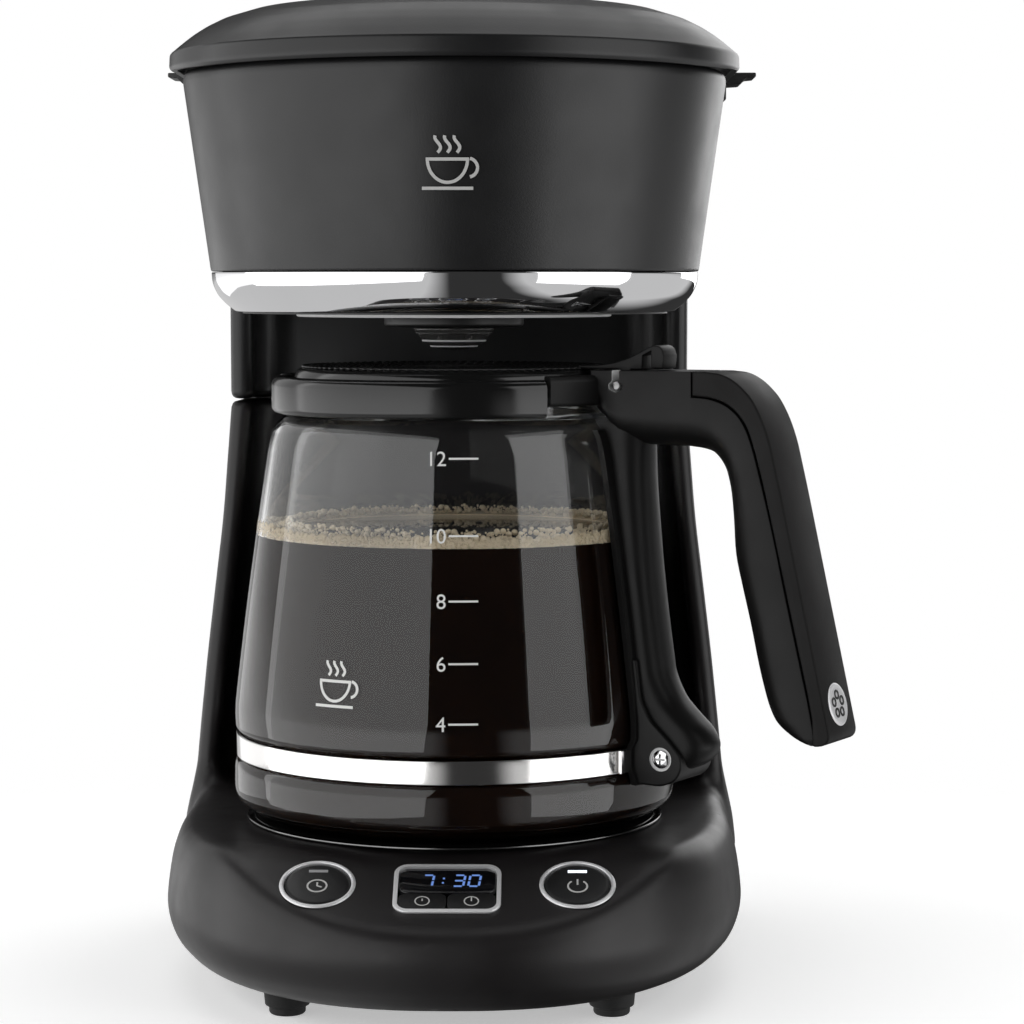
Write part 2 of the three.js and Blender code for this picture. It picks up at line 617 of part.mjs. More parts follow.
piece(carafe, 'handle_spine', makeSpine(), glossBlack);
piece(carafe, 'handle_grip', makeGrip(), innerBlack);
const badgePlace = [reach(100), 100];
const badgeTilt = Math.PI / 2 - Math.atan(HANDLE_LEAN);
const badgeSeat = (radius, low, high) => rod(radius, low, high, 20).rotateY(badgeTilt)
  .translate(badgePlace[0], 0, badgePlace[1]);
piece(carafe, 'handle_cover', cut(makeCover(), badgeSeat(7, -0.9, 4)), charcoal);
piece(carafe, 'handle_badge', badgeSeat(6.7, -0.6, 0.3), steel);
piece(carafe, 'band_screw', turned([
  [0, -SPINE_HALF - 0.9], [2.2, -SPINE_HALF - 0.9], [3, -SPINE_HALF - GAP], [1.5, -SPINE_HALF - GAP],
  [1.5, 4], [0, 4]], 14).rotateX(-Math.PI / 2).translate(84, 0, 80), chrome);
piece(carafe, 'lid_pivot_pin',
  rod(PIN_R, -10, 10, 14).rotateX(Math.PI / 2).translate(PIVOT_U, 0, PIVOT_Z), steel);

const lidRim = NECK_R - GLASS_WALL - 0.6;
piece(carafe, 'carafe_lid', cut(turned([
  [0, 203.4], [14, 202.6], [40, 200.4], [lidRim - 3, 196], [lidRim, 196], [lidRim, 201.4],
  [lidRim - 2, 203.2], [36, 205.2], [14, 206], [0, 206]], 28), rod(4, 190, 210, 12)), glossBlack);

function makeThumbLever() {
  const outline = new THREE.Shape();
  outline.moveTo(lidRim + GAP + 0.2, 200.6).lineTo(64, 201).lineTo(70, 203.9).lineTo(72, ARM_TOP + 0.6);
  outline.lineTo(80, ARM_TOP + 1.2).quadraticCurveTo(81.4, 210.4, 80, 213.6).lineTo(75.6, 213.2);
  outline.quadraticCurveTo(72.6, 208.8, 68, 207.4);
  outline.lineTo(lidRim + GAP + 0.2, 204.4);
  const hub = rod(4, -LEVER_HALF, LEVER_HALF, 18).rotateX(Math.PI / 2).translate(PIVOT_U, 0, PIVOT_Z);
  const hole = rod(PIN_R + 0.3, -10, 10, 16).rotateX(Math.PI / 2).translate(PIVOT_U, 0, PIVOT_Z);
  return cut(join(slab(outline, -LEVER_HALF, LEVER_HALF), hub), hole);
}
piece(carafe, 'thumb_lever', makeThumbLever(), glossBlack);

// ---------- Origin at the middle of the footprint ----------

machine.updateMatrixWorld(true);
const middle = new THREE.Box3().setFromObject(machine, true).getCenter(new THREE.Vector3());
machine.position.set(-middle.x, -middle.y, 0);

export default machine;
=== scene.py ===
"""Drip coffee maker with a glass carafe: the looks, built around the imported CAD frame.

Lengths inside the script are millimetres in the machine's own frame (X = 0 on the centre plane,
Y = 0 where the housing is widest, Z up from the counter). spot() turns them into the row frame.
"""
import math
import random

import bmesh
import bpy
import numpy as np
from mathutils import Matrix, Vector


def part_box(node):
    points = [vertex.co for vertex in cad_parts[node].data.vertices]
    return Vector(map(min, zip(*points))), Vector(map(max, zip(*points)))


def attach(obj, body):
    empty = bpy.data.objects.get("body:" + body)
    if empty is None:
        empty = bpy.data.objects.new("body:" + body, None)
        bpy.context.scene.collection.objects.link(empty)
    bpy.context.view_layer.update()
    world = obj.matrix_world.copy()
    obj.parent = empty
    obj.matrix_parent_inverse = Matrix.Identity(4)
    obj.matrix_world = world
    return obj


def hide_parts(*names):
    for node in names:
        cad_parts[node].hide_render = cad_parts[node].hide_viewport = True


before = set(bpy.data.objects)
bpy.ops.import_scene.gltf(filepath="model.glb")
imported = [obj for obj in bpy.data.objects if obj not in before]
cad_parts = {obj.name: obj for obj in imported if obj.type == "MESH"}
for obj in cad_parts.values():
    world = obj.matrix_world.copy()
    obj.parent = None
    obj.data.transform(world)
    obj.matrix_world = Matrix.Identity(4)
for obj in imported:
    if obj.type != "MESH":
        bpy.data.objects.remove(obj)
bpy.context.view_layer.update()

# ---------- Shared dimensions, millimetres ----------

CORNER = 6          # squareness of the housing's rear corners
BASE_NOSE = 2.3     # squareness of the base's front
BASE_BOTTOM = 8
BASE_FRONT = 125
DECK = 53.5
SEAM = 192
HEAD_BOTTOM = 237.5
HEAD_TOP = 304.2
LID_BOTTOM = 305
LID_TOP = 328
CHROME_BOTTOM = 224
COLUMN_FRONT = 45
NICHE_BACK = 66
WALL = 2.5
GAP = 0.3
CREASE_Y = -83.8
SLOPE = math.radians(26)
BREW_Y = -15
HINGE = (110, 306.5)
HANDLE_TURN = math.radians(-29)
COFFEE_TOP = 151

housing_low, housing_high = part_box("lower_housing")
CENTRE_X = (housing_low.x + housing_high.x) / 2
CENTRE_Y = housing_low.y + BASE_FRONT / 1000


def spot(x, y, z):
    """A point of the machine's own frame, in metres in the row frame."""
    return (CENTRE_X + x / 1000, CENTRE_Y + y / 1000, z / 1000)


def in_machine(points):
    return points


def in_carafe(points):
    """Carafe frame: x out along the handle, y across it, z up."""
    turned = points.copy()
    c, s = math.cos(HANDLE_TURN), math.sin(HANDLE_TURN)
    turned[:, 0] = points[:, 0] * c - points[:, 1] * s
    turned[:, 1] = points[:, 0] * s + points[:, 1] * c + BREW_Y
    return turned


def in_brew(points):
    return points + np.array([0, BREW_Y, 0])


def on_panel(points):
    """Control panel frame: x right, y up the slope from the crease, z out of it."""
    tilted = points.copy()
    c, s = math.cos(SLOPE), math.sin(SLOPE)
    tilted[:, 1] = CREASE_Y + points[:, 1] * c - points[:, 2] * s
    tilted[:, 2] = DECK + points[:, 1] * s + points[:, 2] * c
    return tilted


# ---------- Camera, lights and world ----------

camera_data = bpy.data.cameras.new("camera")
camera_data.sensor_width = 36
camera_data.lens = 106.05
camera_data.clip_start = 0.05
camera = bpy.data.objects.new("camera", camera_data)
bpy.context.scene.collection.objects.link(camera)
camera.location = spot(27.7, -1032.2, 232.8)
camera.rotation_euler = (math.radians(90 - 4.296), 0, math.radians(0.461))
bpy.context.scene.camera = camera
bpy.context.scene.view_settings.view_transform = "Standard"


def soft_box(name, azimuth, distance, height, width, tall, power):
    """A softbox round the machine: azimuth 0 is in front, 90 to the right."""
    data = bpy.data.lights.new(name, "AREA")
    data.shape = "RECTANGLE"
    data.size, data.size_y = width, tall
    data.energy = power
    light = bpy.data.objects.new(name, data)
    bpy.context.scene.collection.objects.link(light)
    turn = math.radians(azimuth)
    light.location = (distance * math.sin(turn), -distance * math.cos(turn), height)
    aim = Vector((0, 0, 0.17)) - light.location
    light.rotation_euler = aim.to_track_quat("-Z", "Y").to_euler()


soft_box("softbox_left", -62, 1.2, 0.35, 2.9, 1.7, 24)
soft_box("softbox_right", 64, 1.3, 0.35, 1.25, 1.7, 11)
soft_box("softbox_back_left", -128, 1.5, 0.45, 1.3, 1.5, 4)
soft_box("softbox_back_right", 150, 1.5, 0.6, 1.0, 1.0, 6)
soft_box("softbox_top", 180, 0.5, 1.6, 1.7, 1.7, 11)

world = bpy.data.worlds.new("studio")
bpy.context.scene.world = world
world.use_nodes = True
sky = world.node_tree
sky.nodes.clear()
sky_out = sky.nodes.new("ShaderNodeOutputWorld")
sky_mix = sky.nodes.new("ShaderNodeMixShader")
sky_path = sky.nodes.new("ShaderNodeLightPath")
glows = []
for shade in (0.035, 1.0):
    glow = sky.nodes.new("ShaderNodeBackground")
    glow.inputs["Color"].default_value = (shade, shade, shade, 1)
    sky.links.new(glow.outputs[0], sky_mix.inputs[len(glows) + 1])
    glows.append(glow)
# Bright metal sees white paper below the horizon, beyond the small floor.
sky_direction = sky.nodes.new("ShaderNodeTexCoord")
sky_height = sky.nodes.new("ShaderNodeSeparateXYZ")
sky_below = sky.nodes.new("ShaderNodeMapRange")
for socket, value in (("From Min", 0.02), ("From Max", -0.06), ("To Min", 0), ("To Max", 1)):
    sky_below.inputs[socket].default_value = value
sky_aside = sky.nodes.new("ShaderNodeMath")
sky_aside.operation = "SUBTRACT"
sky_aside.inputs[1].default_value = 0.18
sky_apart = sky.nodes.new("ShaderNodeMath")
sky_apart.operation = "ABSOLUTE"
sky_sides = sky.nodes.new("ShaderNodeMapRange")
for socket, value in (("From Min", 0.2), ("From Max", 0.36), ("To Min", 0), ("To Max", 1)):
    sky_sides.inputs[socket].default_value = value
sky_both = sky.nodes.new("ShaderNodeMath")
sky_both.operation = "MULTIPLY"
sky_paper = sky.nodes.new("ShaderNodeMath")
sky_paper.operation = "MULTIPLY"
sky_strength = sky.nodes.new("ShaderNodeMath")
sky_strength.operation = "MULTIPLY_ADD"
sky_strength.inputs[1].default_value = 17
sky_strength.inputs[2].default_value = 1
sky.links.new(sky_direction.outputs["Generated"], sky_height.inputs[0])
sky.links.new(sky_height.outputs["Z"], sky_below.inputs["Value"])
sky.links.new(sky_height.outputs["X"], sky_aside.inputs[0])
sky.links.new(sky_aside.outputs["Value"], sky_apart.inputs[0])
sky.links.new(sky_apart.outputs["Value"], sky_sides.inputs["Value"])
sky.links.new(sky_below.outputs["Result"], sky_both.inputs[0])
sky.links.new(sky_sides.outputs["Result"], sky_both.inputs[1])
sky.links.new(sky_both.outputs["Value"], sky_paper.inputs[0])
sky.links.new(sky_path.outputs["Is Glossy Ray"], sky_paper.inputs[1])
sky.links.new(sky_paper.outputs["Value"], sky_strength.inputs[0])
sky.links.new(sky_strength.outputs["Value"], glows[0].inputs["Strength"])
sky.links.new(sky_path.outputs["Is Camera Ray"], sky_mix.inputs[0])
sky.links.new(sky_mix.outputs[0], sky_out.inputs[0])


# ---------- Materials ----------

def new_material(name):
    material = bpy.data.materials.new(name)
    material.use_nodes = True
    return material, material.node_tree, material.node_tree.nodes["Principled BSDF"]


def noise(tree, scale, detail=3, stretch=(1, 1, 1)):
    coordinates = tree.nodes.new("ShaderNodeTexCoord")
    mapping = tree.nodes.new("ShaderNodeMapping")
    mapping.inputs["Scale"].default_value = stretch
    texture = tree.nodes.new("ShaderNodeTexNoise")
    texture.inputs["Scale"].default_value = scale
    texture.inputs["Detail"].default_value = detail
    tree.links.new(coordinates.outputs["Object"], mapping.inputs["Vector"])
    tree.links.new(mapping.outputs["Vector"], texture.inputs["Vector"])
    return texture


def ramp(tree, source, low, high):
    """Maps a noise's middle range onto low..high; both are colours or both are numbers."""
    node = tree.nodes.new("ShaderNodeValToRGB")
    as_colour = lambda v: (*v, 1) if isinstance(v, tuple) else (v, v, v, 1)
    node.color_ramp.elements[0].position = 0.32
    node.color_ramp.elements[1].position = 0.68
    node.color_ramp.elements[0].color = as_colour(low)
    node.color_ramp.elements[1].color = as_colour(high)
    tree.links.new(source.outputs["Fac"], node.inputs["Fac"])
    return node.outputs["Color"]


def finish_material(name, colour, roughness, metal=0.0, spread=0.12, grain=None, streak=(1, 1, 1),
                    coat=0.0, specular=0.5, transmission=0.0, ior=1.5, glow=None, glow_power=0.0):
    """A moulded, plated or glass finish: mottled colour, uneven roughness and a fine grain.

    grain is (noise scale per metre, bump depth in metres)."""
    material, tree, shader = new_material(name)
    darker = tuple(c * (1 - spread) for c in colour)
    lighter = tuple(min(1, c * (1 + spread)) for c in colour)
    broad = noise(tree, 22, 4)
    tree.links.new(ramp(tree, broad, darker, lighter), shader.inputs["Base Color"])
    handling = noise(tree, 60, 5, streak)
    low, high = roughness * 0.9, min(1.0, roughness * 1.12)
    tree.links.new(ramp(tree, handling, low, high), shader.inputs["Roughness"])
    shader.inputs["Metallic"].default_value = metal
    shader.inputs["Coat Weight"].default_value = coat
    shader.inputs["Coat Roughness"].default_value = 0.08
    shader.inputs["Specular IOR Level"].default_value = specular
    shader.inputs["Transmission Weight"].default_value = transmission
    shader.inputs["IOR"].default_value = ior
    if glow:
        shader.inputs["Emission Color"].default_value = (*glow, 1)
        shader.inputs["Emission Strength"].default_value = glow_power
    if grain:
        scale, depth = grain
        bump = tree.nodes.new("ShaderNodeBump")
        bump.inputs["Distance"].default_value = depth
        bump.inputs["Strength"].default_value = 0.6
        tree.links.new(noise(tree, scale, 2, streak).outputs["Fac"], bump.inputs["Height"])
        tree.links.new(bump.outputs["Normal"], shader.inputs["Normal"])
    return material


charcoal = finish_material("charcoal_plastic", (0.0085, 0.0085, 0.009), 0.34, specular=0.4, grain=(1900, 0.00005))
warm_black = finish_material("warm_black_plastic", (0.0085, 0.0072, 0.0076), 0.4, specular=0.4, grain=(1900, 0.00005))
inner_black = finish_material("inner_black_plastic", (0.006, 0.006, 0.006), 0.45, grain=(1500, 0.00004))
gloss_black = finish_material("gloss_black_plastic", (0.006, 0.006, 0.006), 0.16, grain=(700, 0.00001))
grip_black = finish_material("grip_black_plastic", (0.0045, 0.0043, 0.0043), 0.42, specular=0.2, grain=(1500, 0.00003))
cover_grey = finish_material("cover_grey_plastic", (0.008, 0.0075, 0.0075), 0.5, specular=0.14, grain=(1900, 0.00005))
display_black = finish_material("display_black", (0.004, 0.004, 0.005), 0.07, coat=0.5)
gunmetal = finish_material("gunmetal", (0.2, 0.2, 0.2), 0.16, metal=1, spread=0.1, grain=(900, 0.00001))
hotplate_black = finish_material("hotplate_coating", (0.007, 0.007, 0.007), 0.22, grain=(900, 0.00002))
chrome = finish_material("chrome_plate", (0.78, 0.78, 0.79), 0.045, metal=1, spread=0.02)
ring_silver = finish_material("ring_silver", (0.84, 0.84, 0.85), 0.42, metal=0.6, spread=0.04)
steel = finish_material("bright_steel", (0.62, 0.62, 0.63), 0.2, metal=1, spread=0.06, grain=(900, 0.00001))
band_steel = finish_material("band_steel", (0.76, 0.75, 0.74), 0.11, metal=1, spread=0.03,
                             grain=(500, 0.00001), streak=(1, 1, 14))
rubber = finish_material("black_rubber", (0.012, 0.012, 0.012), 0.75, grain=(1200, 0.00008))
milky = finish_material("milky_silicone", (0.62, 0.62, 0.57), 0.35, grain=(600, 0.00003))
smoky = finish_material("smoky_plastic", (0.05, 0.047, 0.043), 0.2, transmission=0.55, ior=1.49)
drip_smoke = finish_material("drip_stop_smoke", (0.2, 0.195, 0.19), 0.14, transmission=0.75, ior=1.49)
aluminium = finish_material("cast_aluminium", (0.55, 0.55, 0.56), 0.42, metal=1, grain=(1500, 0.00006))
ceramic = finish_material("glazed_ceramic", (0.68, 0.62, 0.52), 0.25, grain=(500, 0.00003))
board_green = finish_material("circuit_board", (0.015, 0.10, 0.04), 0.3, grain=(700, 0.00003))
clear_glass = finish_material("carafe_clear_glass", (0.985, 0.99, 0.988), 0.012, spread=0.004,
                              transmission=1.0, ior=1.47)
coffee_black = finish_material("black_coffee", (0.009, 0.0035, 0.0015), 0.05, spread=0.3, specular=0.12)
foam_cream = finish_material("coffee_foam", (0.78, 0.66, 0.48), 0.24, spread=0.3, grain=(900, 0.00015))
print_white = finish_material("printed_white", (0.82, 0.82, 0.8), 0.5, spread=0.05)
print_grey = finish_material("printed_grey", (0.55, 0.55, 0.54), 0.45, spread=0.06)
lamp_dim = finish_material("lamp_dim", (0.32, 0.32, 0.33), 0.3)
lamp_lit = finish_material("lamp_lit", (0.8, 0.85, 0.95), 0.3, glow=(0.75, 0.85, 1.0), glow_power=1.1)
digit_blue = finish_material("digit_blue", (0.1, 0.2, 0.5), 0.3, glow=(0.2, 0.34, 0.8), glow_power=0.45)


def filter_mesh_material():
    """Amber frame with a fine woven mesh, as dark and light threads with relief."""
    material, tree, shader = new_material("filter_amber")
    waves = []
    for axis in ("X", "Z"):
        coordinates = tree.nodes.new("ShaderNodeTexCoord")
        wave = tree.nodes.new("ShaderNodeTexWave")
        wave.bands_direction = axis
        wave.inputs["Scale"].default_value = 260
        wave.inputs["Distortion"].default_value = 0.3
        tree.links.new(coordinates.outputs["Object"], wave.inputs["Vector"])
        waves.append(wave)
    product = tree.nodes.new("ShaderNodeMath")
    product.operation = "MULTIPLY"
    for k, wave in enumerate(waves):
        tree.links.new(wave.outputs["Fac"], product.inputs[k])
    colours = tree.nodes.new("ShaderNodeValToRGB")
    colours.color_ramp.elements[0].color = (0.08, 0.04, 0.012, 1)
    colours.color_ramp.elements[1].color = (0.5, 0.31, 0.1, 1)
    bump = tree.nodes.new("ShaderNodeBump")
    bump.inputs["Distance"].default_value = 0.0004
    tree.links.new(product.outputs[0], colours.inputs["Fac"])
    tree.links.new(product.outputs[0], bump.inputs["Height"])
    tree.links.new(colours.outputs["Color"], shader.inputs["Base Color"])
    tree.links.new(bump.outputs["Normal"], shader.inputs["Normal"])
    shader.inputs["Roughness"].default_value = 0.4
    return material


filter_amber = filter_mesh_material()


# ---------- Mesh tools ----------

def make_object(name, points, faces, material, place=in_machine, sharp=38):
    """A mesh from points in millimetres, with edges over the sharp angle (degrees) kept crisp."""
    world_points = place(np.asarray(points, float))
    mesh = bpy.data.meshes.new(name)
    mesh.from_pydata([spot(*p) for p in world_points], [], [list(f) for f in faces])
    obj = bpy.data.objects.new(name, mesh)
    bpy.context.scene.collection.objects.link(obj)
    tidy(obj, sharp)
    mesh.materials.append(material)
    return obj


def tidy(obj, sharp):
    """Merges doubled points, turns faces outward and marks the crisp edges."""
    work = bmesh.new()
    work.from_mesh(obj.data)
    bmesh.ops.remove_doubles(work, verts=work.verts, dist=2e-6)
    bmesh.ops.dissolve_degenerate(work, edges=work.edges, dist=1e-7)
    bmesh.ops.recalc_face_normals(work, faces=work.faces)
    for face in work.faces:
        face.smooth = True
    for edge in work.edges:
        edge.smooth = len(edge.link_faces) == 2 and edge.calc_face_angle(0) < math.radians(sharp)
    work.to_mesh(obj.data)
    work.free()


def rounded(points, radius, steps=4):
    """A polyline with its inner corners turned into short curves; works in any dimension."""
    points = [np.asarray(p, float) for p in points]
    out = [points[0]]
    for before, corner, after in zip(points, points[1:], points[2:]):
        near, far = before - corner, after - corner
        reach = min(radius, 0.48 * np.linalg.norm(near), 0.48 * np.linalg.norm(far))
        start = corner + near / np.linalg.norm(near) * reach
        end = corner + far / np.linalg.norm(far) * reach
        for t in np.linspace(0, 1, steps + 1):
            out.append((1 - t) ** 2 * start + 2 * t * (1 - t) * corner + t ** 2 * end)
    out.append(points[-1])
    return out


def plan_point(level, turn, nose=2.0, corner=CORNER):
    """A point of a housing's plan at one level (z, side, front, rear)."""
    z, side, front, rear = level
    c, s = math.cos(turn), math.sin(turn)
    power = nose if s < 0 else corner
    squash = lambda v: math.copysign(abs(v) ** (2 / power), v)
    return (side * squash(c), (front if s < 0 else rear) * squash(s), z)


def skin(name, levels, material, steps=160, place=in_machine, ring=False, nose=2.0, corner=CORNER, sharp=38):
    """A lofted solid through levels of (z, side, front, rear); a ring's last level meets its first."""
    points = [plan_point(level, 2 * math.pi * k / steps, nose, corner) for level in levels for k in range(steps)]
    rows = len(levels)
    faces = []
    for row in range(rows if ring else rows - 1):
        low, high = row * steps, ((row + 1) % rows) * steps
        for k in range(steps):
            following = (k + 1) % steps
            faces.append((low + k, low + following, high + following, high + k))
    return make_object(name, points, faces, material, place, sharp)


def lathe(name, profile, material, steps=96, place=in_brew, ring=False, sharp=38):
    """A turned solid from (radius, z) points; not a ring: it starts and ends on the axis."""
    levels = [(z, r, r, r) for r, z in profile]
    return skin(name, levels, material, steps, place, ring, corner=2.0, sharp=sharp)


def closed(points, radius, steps=3):
    """A closed outline with every corner rounded, starting in the middle of a side."""
    middle = [(a + b) / 2 for a, b in zip(points[0], points[-1])]
    return rounded([middle, *points, middle], radius, steps)[:-1]


def slab(name, outline, low, high, material, place=in_machine, soften=0.0, segments=4, plane="xz"):
    """A flat outline drawn out: plane xz is drawn along y, plane xy along z."""
    count = len(outline)
    if plane == "xz":
        points = [(u, low, w) for u, w in outline] + [(u, high, w) for u, w in outline]
    else:
        points = [(u, w, low) for u, w in outline] + [(u, w, high) for u, w in outline]
    faces = [tuple(range(count)), tuple(range(count, 2 * count))]
    faces += [(k, (k + 1) % count, count + (k + 1) % count, count + k) for k in range(count)]
    obj = make_object(name, points, faces, material, place, sharp=30)
    if soften:
        bevel = obj.modifiers.new("bevel", "BEVEL")
        bevel.width = soften / 1000
        bevel.segments = segments
        bevel.limit_method = "ANGLE"
        bevel.angle_limit = math.radians(32)
        apply_modifiers(obj)
        tidy(obj, 50)
    return obj


def apply_modifiers(obj):
    graph = bpy.context.evaluated_depsgraph_get()
    mesh = bpy.data.meshes.new_from_object(obj.evaluated_get(graph))
    obj.modifiers.clear()
    old = obj.data
    obj.data = mesh
    bpy.data.meshes.remove(old)


def carve(obj, cutters, operation="DIFFERENCE", sharp=38):
    """Cuts (or joins) solids with a boolean; the cutters are used up."""
    for cutter in cutters:
        modifier = obj.modifiers.new("carve", "BOOLEAN")
        modifier.operation = operation
        modifier.solver = "MANIFOLD"
        modifier.object = cutter
        modifier.material_mode = "INDEX"
        bpy.context.view_layer.update()
        apply_modifiers(obj)
        bpy.data.objects.remove(cutter)
    tidy(obj, sharp)
    return obj


def block(low, high, place=in_machine):
    """A plain cutting block between two corners."""
    outline = [(low[0], low[2]), (high[0], low[2]), (high[0], high[2]), (low[0], high[2])]
    return slab("cutter", outline, low[1], high[1], None, place)


def rod(radius, low, high, centre=(0, 0), place=in_machine, steps=48):
    """A plain cutting rod along z."""
    shift = lambda p: place(p + np.array([centre[0], centre[1], 0]))
    return lathe("cutter", [(0, low), (radius, low), (radius, high), (0, high)], None, steps, shift)


def cross_rod(name, profile, centre, material, place, steps=40):
    """A turned solid whose axis lies along y: profile is (radius, y)."""
    def lay(points):
        laid = np.stack([points[:, 0] + centre[0], points[:, 2], points[:, 1] + centre[1]], axis=1)
        return place(laid)
    return lathe(name, profile, material, steps, lay)


def put(piece, body, *nodes, slot=None):
    """The piece rides on a body and stands for CAD nodes."""
    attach(piece, body)
    if nodes:
        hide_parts(*nodes)
    return piece


def surface_place(radius_at, turn_at, lift=0.06):
    """Wraps flat marks (x along the surface, z up, y = thickness) round the brewing axis."""
    def wrap(points):
        radius = radius_at(points[:, 2]) + lift + points[:, 1]
        turn = turn_at + points[:, 0] / radius_at(points[:, 2])
        return np.stack([radius * np.sin(turn), -radius * np.cos(turn), points[:, 2]], axis=1)
    return wrap


# ---------- Rounded housings from distance fields ----------

def smooth_max(a, b, blend):
    share = np.clip(0.5 + 0.5 * (a - b) / blend, 0, 1)
    return b + (a - b) * share + blend * share * (1 - share)


def smooth_min(a, b, blend):
    return -smooth_max(-a, -b, blend)


def plan_distance(x, y, z, levels, nose):
    """Signed distance across to a lofted housing wall whose levels are (z, side, front, rear)."""
    table = np.array(rounded(levels, 8, 6))
    side, front, rear = (np.interp(z, table[:, 0], table[:, k]) for k in (1, 2, 3))
    ahead = y < 0
    power = np.where(ahead, nose, CORNER)
    reach = np.where(ahead, front, rear)
    ratio = ((np.abs(x) / side) ** power + (np.abs(y) / reach) ** power) ** (1 / power)
    return np.hypot(x, y) * (1 - 1 / np.maximum(ratio, 0.05))


def isosurface(field, low, high, step):
    """Points and four-sided faces where the field crosses zero (surface nets, then Newton steps)."""
    axes = [np.arange(a, b + step, step) for a, b in zip(low, high)]
    grid = np.meshgrid(*axes, indexing="ij")
    inside = field(*grid) < 0
    total = sum(inside[i:inside.shape[0] - 1 + i, j:inside.shape[1] - 1 + j, k:inside.shape[2] - 1 + k].astype(np.int8)
                for i in (0, 1) for j in (0, 1) for k in (0, 1))
    active = (total > 0) & (total < 8)
    index = np.full(active.shape, -1)
    index[active] = np.arange(active.sum())
    points = (np.argwhere(active) + 0.5) * step + np.array(low)
    for _ in range(4):
        value = field(*points.T)
        slope = np.stack([field(*(points + offset).T) - value for offset in np.eye(3) * 0.01], axis=1) / 0.01
        move = -(value / np.maximum((slope ** 2).sum(1), 0.05))[:, None] * slope
        points += np.clip(move, -step, step)
    faces = []
    for axis in range(3):
        others = [k for k in range(3) if k != axis]
        first = np.take(inside, range(inside.shape[axis] - 1), axis)
        second = np.take(inside, range(1, inside.shape[axis]), axis)
        for place in np.argwhere(first != second):
            if min(place[others[0]], place[others[1]]) < 1 or any(place[k] > active.shape[k] - 1 for k in range(3)):
                continue
            around = []
            for a, b in ((1, 1), (0, 1), (0, 0), (1, 0)):
                cell = place.copy()
                cell[others[0]] -= a
                cell[others[1]] -= b
                around.append(index[tuple(cell)])
            faces.append(around)
    return points, faces


base_levels = [
    (4, 82, 109, 97), (8, 85, 112, 99.5), (11, 90.4, 117, 104), (17, 95.8, 122.3, 110), (25, 98.2, 125, 112),
    (35, 97.2, 124, 112), (43, 95.8, 122.5, 111.6), (49, 93.6, 121, 110.8), (53.5, 91.4, 119, 109.8),
    (62, 87, 115, 106),
]
column_levels = [
    (35, 97, 94, 111.2), (41.5, 96.6, 94, 111), (70, 94.2, 90, 109.8), (100, 91.1, 90, 108.4), (125, 88.1, 88, 107.4),
    (150, 85, 85, 106.4), (191.7, 81.7, 82, 105), (200, 81.3, 82, 104.6),
]
neck_levels = [(185, 81.9, 82, 105.2), (192, 81.9, 82, 105), (237, 82, 82, 103), (245, 82, 82, 103)]


def column_field(x, y, z, levels, low, high, round_low, round_high):
    wall = smooth_max(plan_distance(x, y, z, levels, 2.0), COLUMN_FRONT - y, 5)
    half = np.interp(z, [DECK, SEAM], [88, 73.5])
    niche = smooth_min(half - np.abs(x), NICHE_BACK - y, 14)
    body = smooth_max(wall, niche, 4)
    body = smooth_max(body, z - high, round_high)
    return smooth_max(body, low - z, round_low)


def lower_field(x, y, z):
    base = plan_distance(x, y, z, base_levels, BASE_NOSE)
    base = smooth_max(base, z - DECK, 5)
    slope = -math.sin(SLOPE) * (y - CREASE_Y) + math.cos(SLOPE) * (z - DECK)
    base = smooth_max(base, slope, 5)
    column = column_field(x, y, z, column_levels, 35, SEAM - GAP, 1, 3)
    body = smooth_min(base, column, 11)
    return smooth_max(body, BASE_BOTTOM - z, 3)


def neck_field(x, y, z):
    return column_field(x, y, z, neck_levels, SEAM + GAP, HEAD_BOTTOM - GAP, 3, 0.8)


def inset(levels, wall):
    return [(z, side - wall, front - wall, rear - wall) for z, side, front, rear in levels]


def solid_levels(levels):
    """Closes a stack of levels at the axis, top and bottom."""
    return [(levels[0][0], 0, 0, 0), *levels, (levels[-1][0], 0, 0, 0)]


def rounded_rectangle(width, height, radius, centre=(0, 0), steps=8):
    w, h = width / 2 - radius, height / 2 - radius
    outline = []
    for k, (cx, cy) in enumerate([(w, h), (-w, h), (-w, -h), (w, -h)]):
        for t in range(steps + 1):
            turn = math.pi / 2 * (k + t / steps)
            outline.append((centre[0] + cx + radius * math.cos(turn), centre[1] + cy + radius * math.sin(turn)))
    return outline


BUTTON_X, BUTTON_Y = 40.7, -18
DISPLAY_Y, DISPLAY_WIDTH, DISPLAY_HEIGHT = -20.2, 33.7, 24.4


